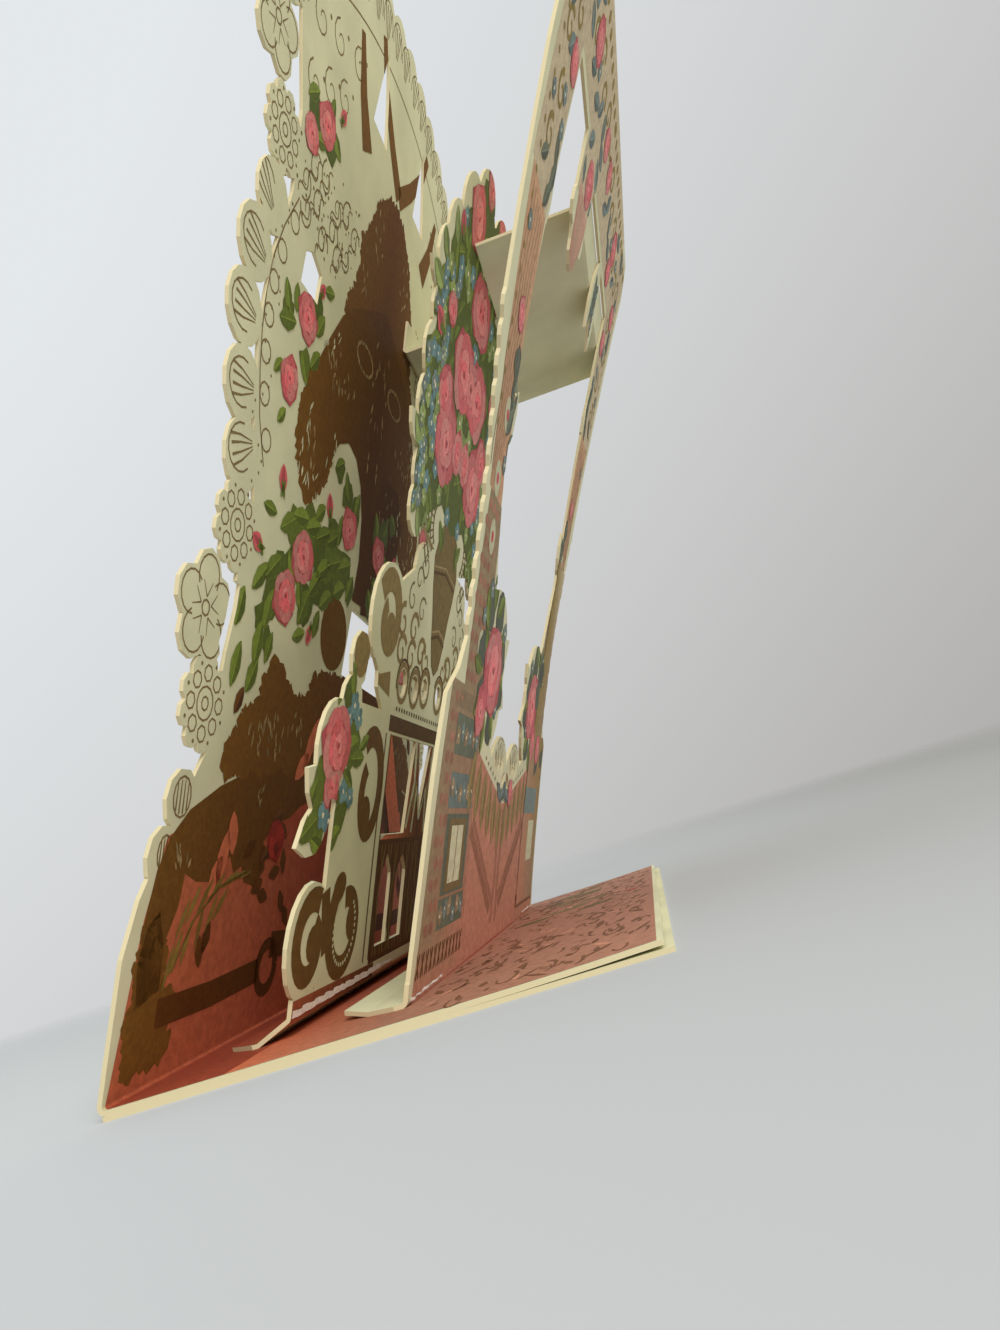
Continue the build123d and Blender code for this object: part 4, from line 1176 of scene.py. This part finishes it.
def crease_wear_and_highlight():
    """White fibres where the ink broke at the folds; at the middle layer's crease they are brightest,
    partly a painted highlight.
    """
    rng = random.Random(51)
    for sheet, name, high, s, wide in (("middle", "middle_crease_wear_and_highlight", 76, 3.5, 1.25),
                                       ("front", "arch_crease_wear", 36, 0.9, 0.45)):
        press = Press(sheet)
        x = 14
        while x < high:
            length = rng.uniform(2.5, 6)
            # The middle layer's line fades towards the middle of the card as painted shade, the arch's is
            # uneven
            now = wide * (min(1.0, max(0.3, (78 - x) / 18)) if sheet == "middle" else rng.uniform(0.6, 1.2))
            run = wave((x - 0.4, s), (min(high, x + length), s + rng.uniform(-0.15, 0.15)), 0.1, 1, 5)
            press.stroke(run, now * rng.uniform(0.8, 1.1), linear(FIBRE_AND_HIGHLIGHT), 5, now * 0.8)
            x += length + (0.0 if sheet == "middle" and x < 60 else rng.uniform(0.2, 1.0))
        press.mirror()
        press.lay(name, "bare_fibre_and_highlight")


class LACECARD_OT_stage(bpy.types.Operator):
    """Adds the floor, the backdrop, the lamp and the camera"""

    bl_idname = "lacecard.stage"
    bl_label = "Stage"

    def execute(self, context):
        scene = context.scene
        scene.view_settings.view_transform = "Standard"
        camera = bpy.data.objects.new("camera", bpy.data.cameras.new("camera"))
        camera.data.sensor_width = SENSOR_WIDTH
        camera.data.lens = FOCAL_PIXELS / FRAME_PIXELS * SENSOR_WIDTH
        camera.data.clip_start = 0.01
        camera.matrix_world = camera_matrix()
        scene.collection.objects.link(camera)
        scene.camera = camera
        mesh = bmesh.new()
        bmesh.ops.create_circle(mesh, cap_ends=True, segments=64, radius=FLOOR_RADIUS)
        floor = make_object("floor", mesh, floor_material("paper_sweep"))
        scene.world = bpy.data.worlds.new("world")
        set_backdrop(scene.world)
        lamp = bpy.data.lights.new("key", "AREA")
        lamp.energy = KEY_POWER
        lamp.size = KEY_SIZE
        key = bpy.data.objects.new("key", lamp)
        key.location = KEY_PLACE
        key.rotation_euler = (Vector(KEY_PLACE) - Vector(KEY_AIM)).to_track_quat("Z", "Y").to_euler()
        scene.collection.objects.link(key)
        return {"FINISHED"}


class LACECARD_OT_card(bpy.types.Operator):
    """Gives the five sheets their card stock"""

    bl_idname = "lacecard.card"
    bl_label = "Card sheets"

    def execute(self, context):
        inks = context.scene.lace_card_inks
        stock = card_stock("aged_card", inks.cream, inks.edge)
        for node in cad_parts.values():
            node.data.materials.clear()
            node.data.materials.append(stock)
        return {"FINISHED"}


class LACECARD_OT_panel_print(bpy.types.Operator):
    """Prints the back panel: salmon ground, gold trees and arches, lace and roses"""

    bl_idname = "lacecard.panel_print"
    bl_label = "Back panel print"

    def execute(self, context):
        for draw in (print_panel_ground, print_panel_gold, print_panel_lace, print_panel_flowers):
            draw(context.scene.lace_card_inks)
        return {"FINISHED"}


class LACECARD_OT_middle_print(bpy.types.Operator):
    """Prints the middle layer: gold scrolls, window, vase, flap and bouquets"""

    bl_idname = "lacecard.middle_print"
    bl_label = "Middle layer print"

    def execute(self, context):
        for draw in (print_middle_gold, print_middle_flap, print_middle_flowers):
            draw(context.scene.lace_card_inks)
        return {"FINISHED"}


class LACECARD_OT_arch_print(bpy.types.Operator):
    """Prints the front arch: colour fields, gold ornament, roses and the tassel"""

    bl_idname = "lacecard.arch_print"
    bl_label = "Front arch print"

    def execute(self, context):
        for draw in (print_arch_panels, print_arch_gold, print_arch_flowers, print_tassel):
            draw(context.scene.lace_card_inks)
        return {"FINISHED"}


class LACECARD_OT_base_print(bpy.types.Operator):
    """Prints the base"""

    bl_idname = "lacecard.base_print"
    bl_label = "Base print"

    def execute(self, context):
        for draw in (print_base, print_fold):
            draw(context.scene.lace_card_inks)
        return {"FINISHED"}


class LACECARD_OT_wear(bpy.types.Operator):
    """Breaks the ink at the creases, with a painted highlight along the middle layer's crease"""

    bl_idname = "lacecard.wear"
    bl_label = "Crease wear and highlight"

    def execute(self, context):
        crease_wear_and_highlight()
        return {"FINISHED"}


STEPS = (LACECARD_OT_stage, LACECARD_OT_card, LACECARD_OT_panel_print, LACECARD_OT_middle_print,
         LACECARD_OT_arch_print, LACECARD_OT_base_print, LACECARD_OT_wear)


class LACECARD_PT_sidebar(bpy.types.Panel):
    """Lists the sizes, the inks and the steps of the card"""

    bl_idname = "LACECARD_PT_sidebar"
    bl_label = "Lace Card"
    bl_space_type = "VIEW_3D"
    bl_region_type = "UI"
    bl_category = "Lace Card"

    def draw(self, context):
        for group in (context.scene.lace_card_sizes, context.scene.lace_card_inks):
            column = self.layout.column()
            for key in group.bl_rna.properties.keys():
                if key not in ("rna_type", "name"):
                    column.prop(group, key)
        for step in STEPS:
            self.layout.operator(step.bl_idname)


CLASSES = (LaceCardSizes, LaceCardInks, *STEPS, LACECARD_PT_sidebar)


def register():
    for item in CLASSES:
        bpy.utils.register_class(item)
    bpy.types.Scene.lace_card_sizes = bpy.props.PointerProperty(type=LaceCardSizes)
    bpy.types.Scene.lace_card_inks = bpy.props.PointerProperty(type=LaceCardInks)


def unregister():
    del bpy.types.Scene.lace_card_sizes
    del bpy.types.Scene.lace_card_inks
    for item in reversed(CLASSES):
        bpy.utils.unregister_class(item)


def main():
    register()
    bpy.ops.lacecard.stage()
    bpy.ops.lacecard.card()
    bpy.ops.lacecard.panel_print()
    bpy.ops.lacecard.middle_print()
    bpy.ops.lacecard.arch_print()
    bpy.ops.lacecard.base_print()
    bpy.ops.lacecard.wear()


if __name__ == "__main__":
    main()
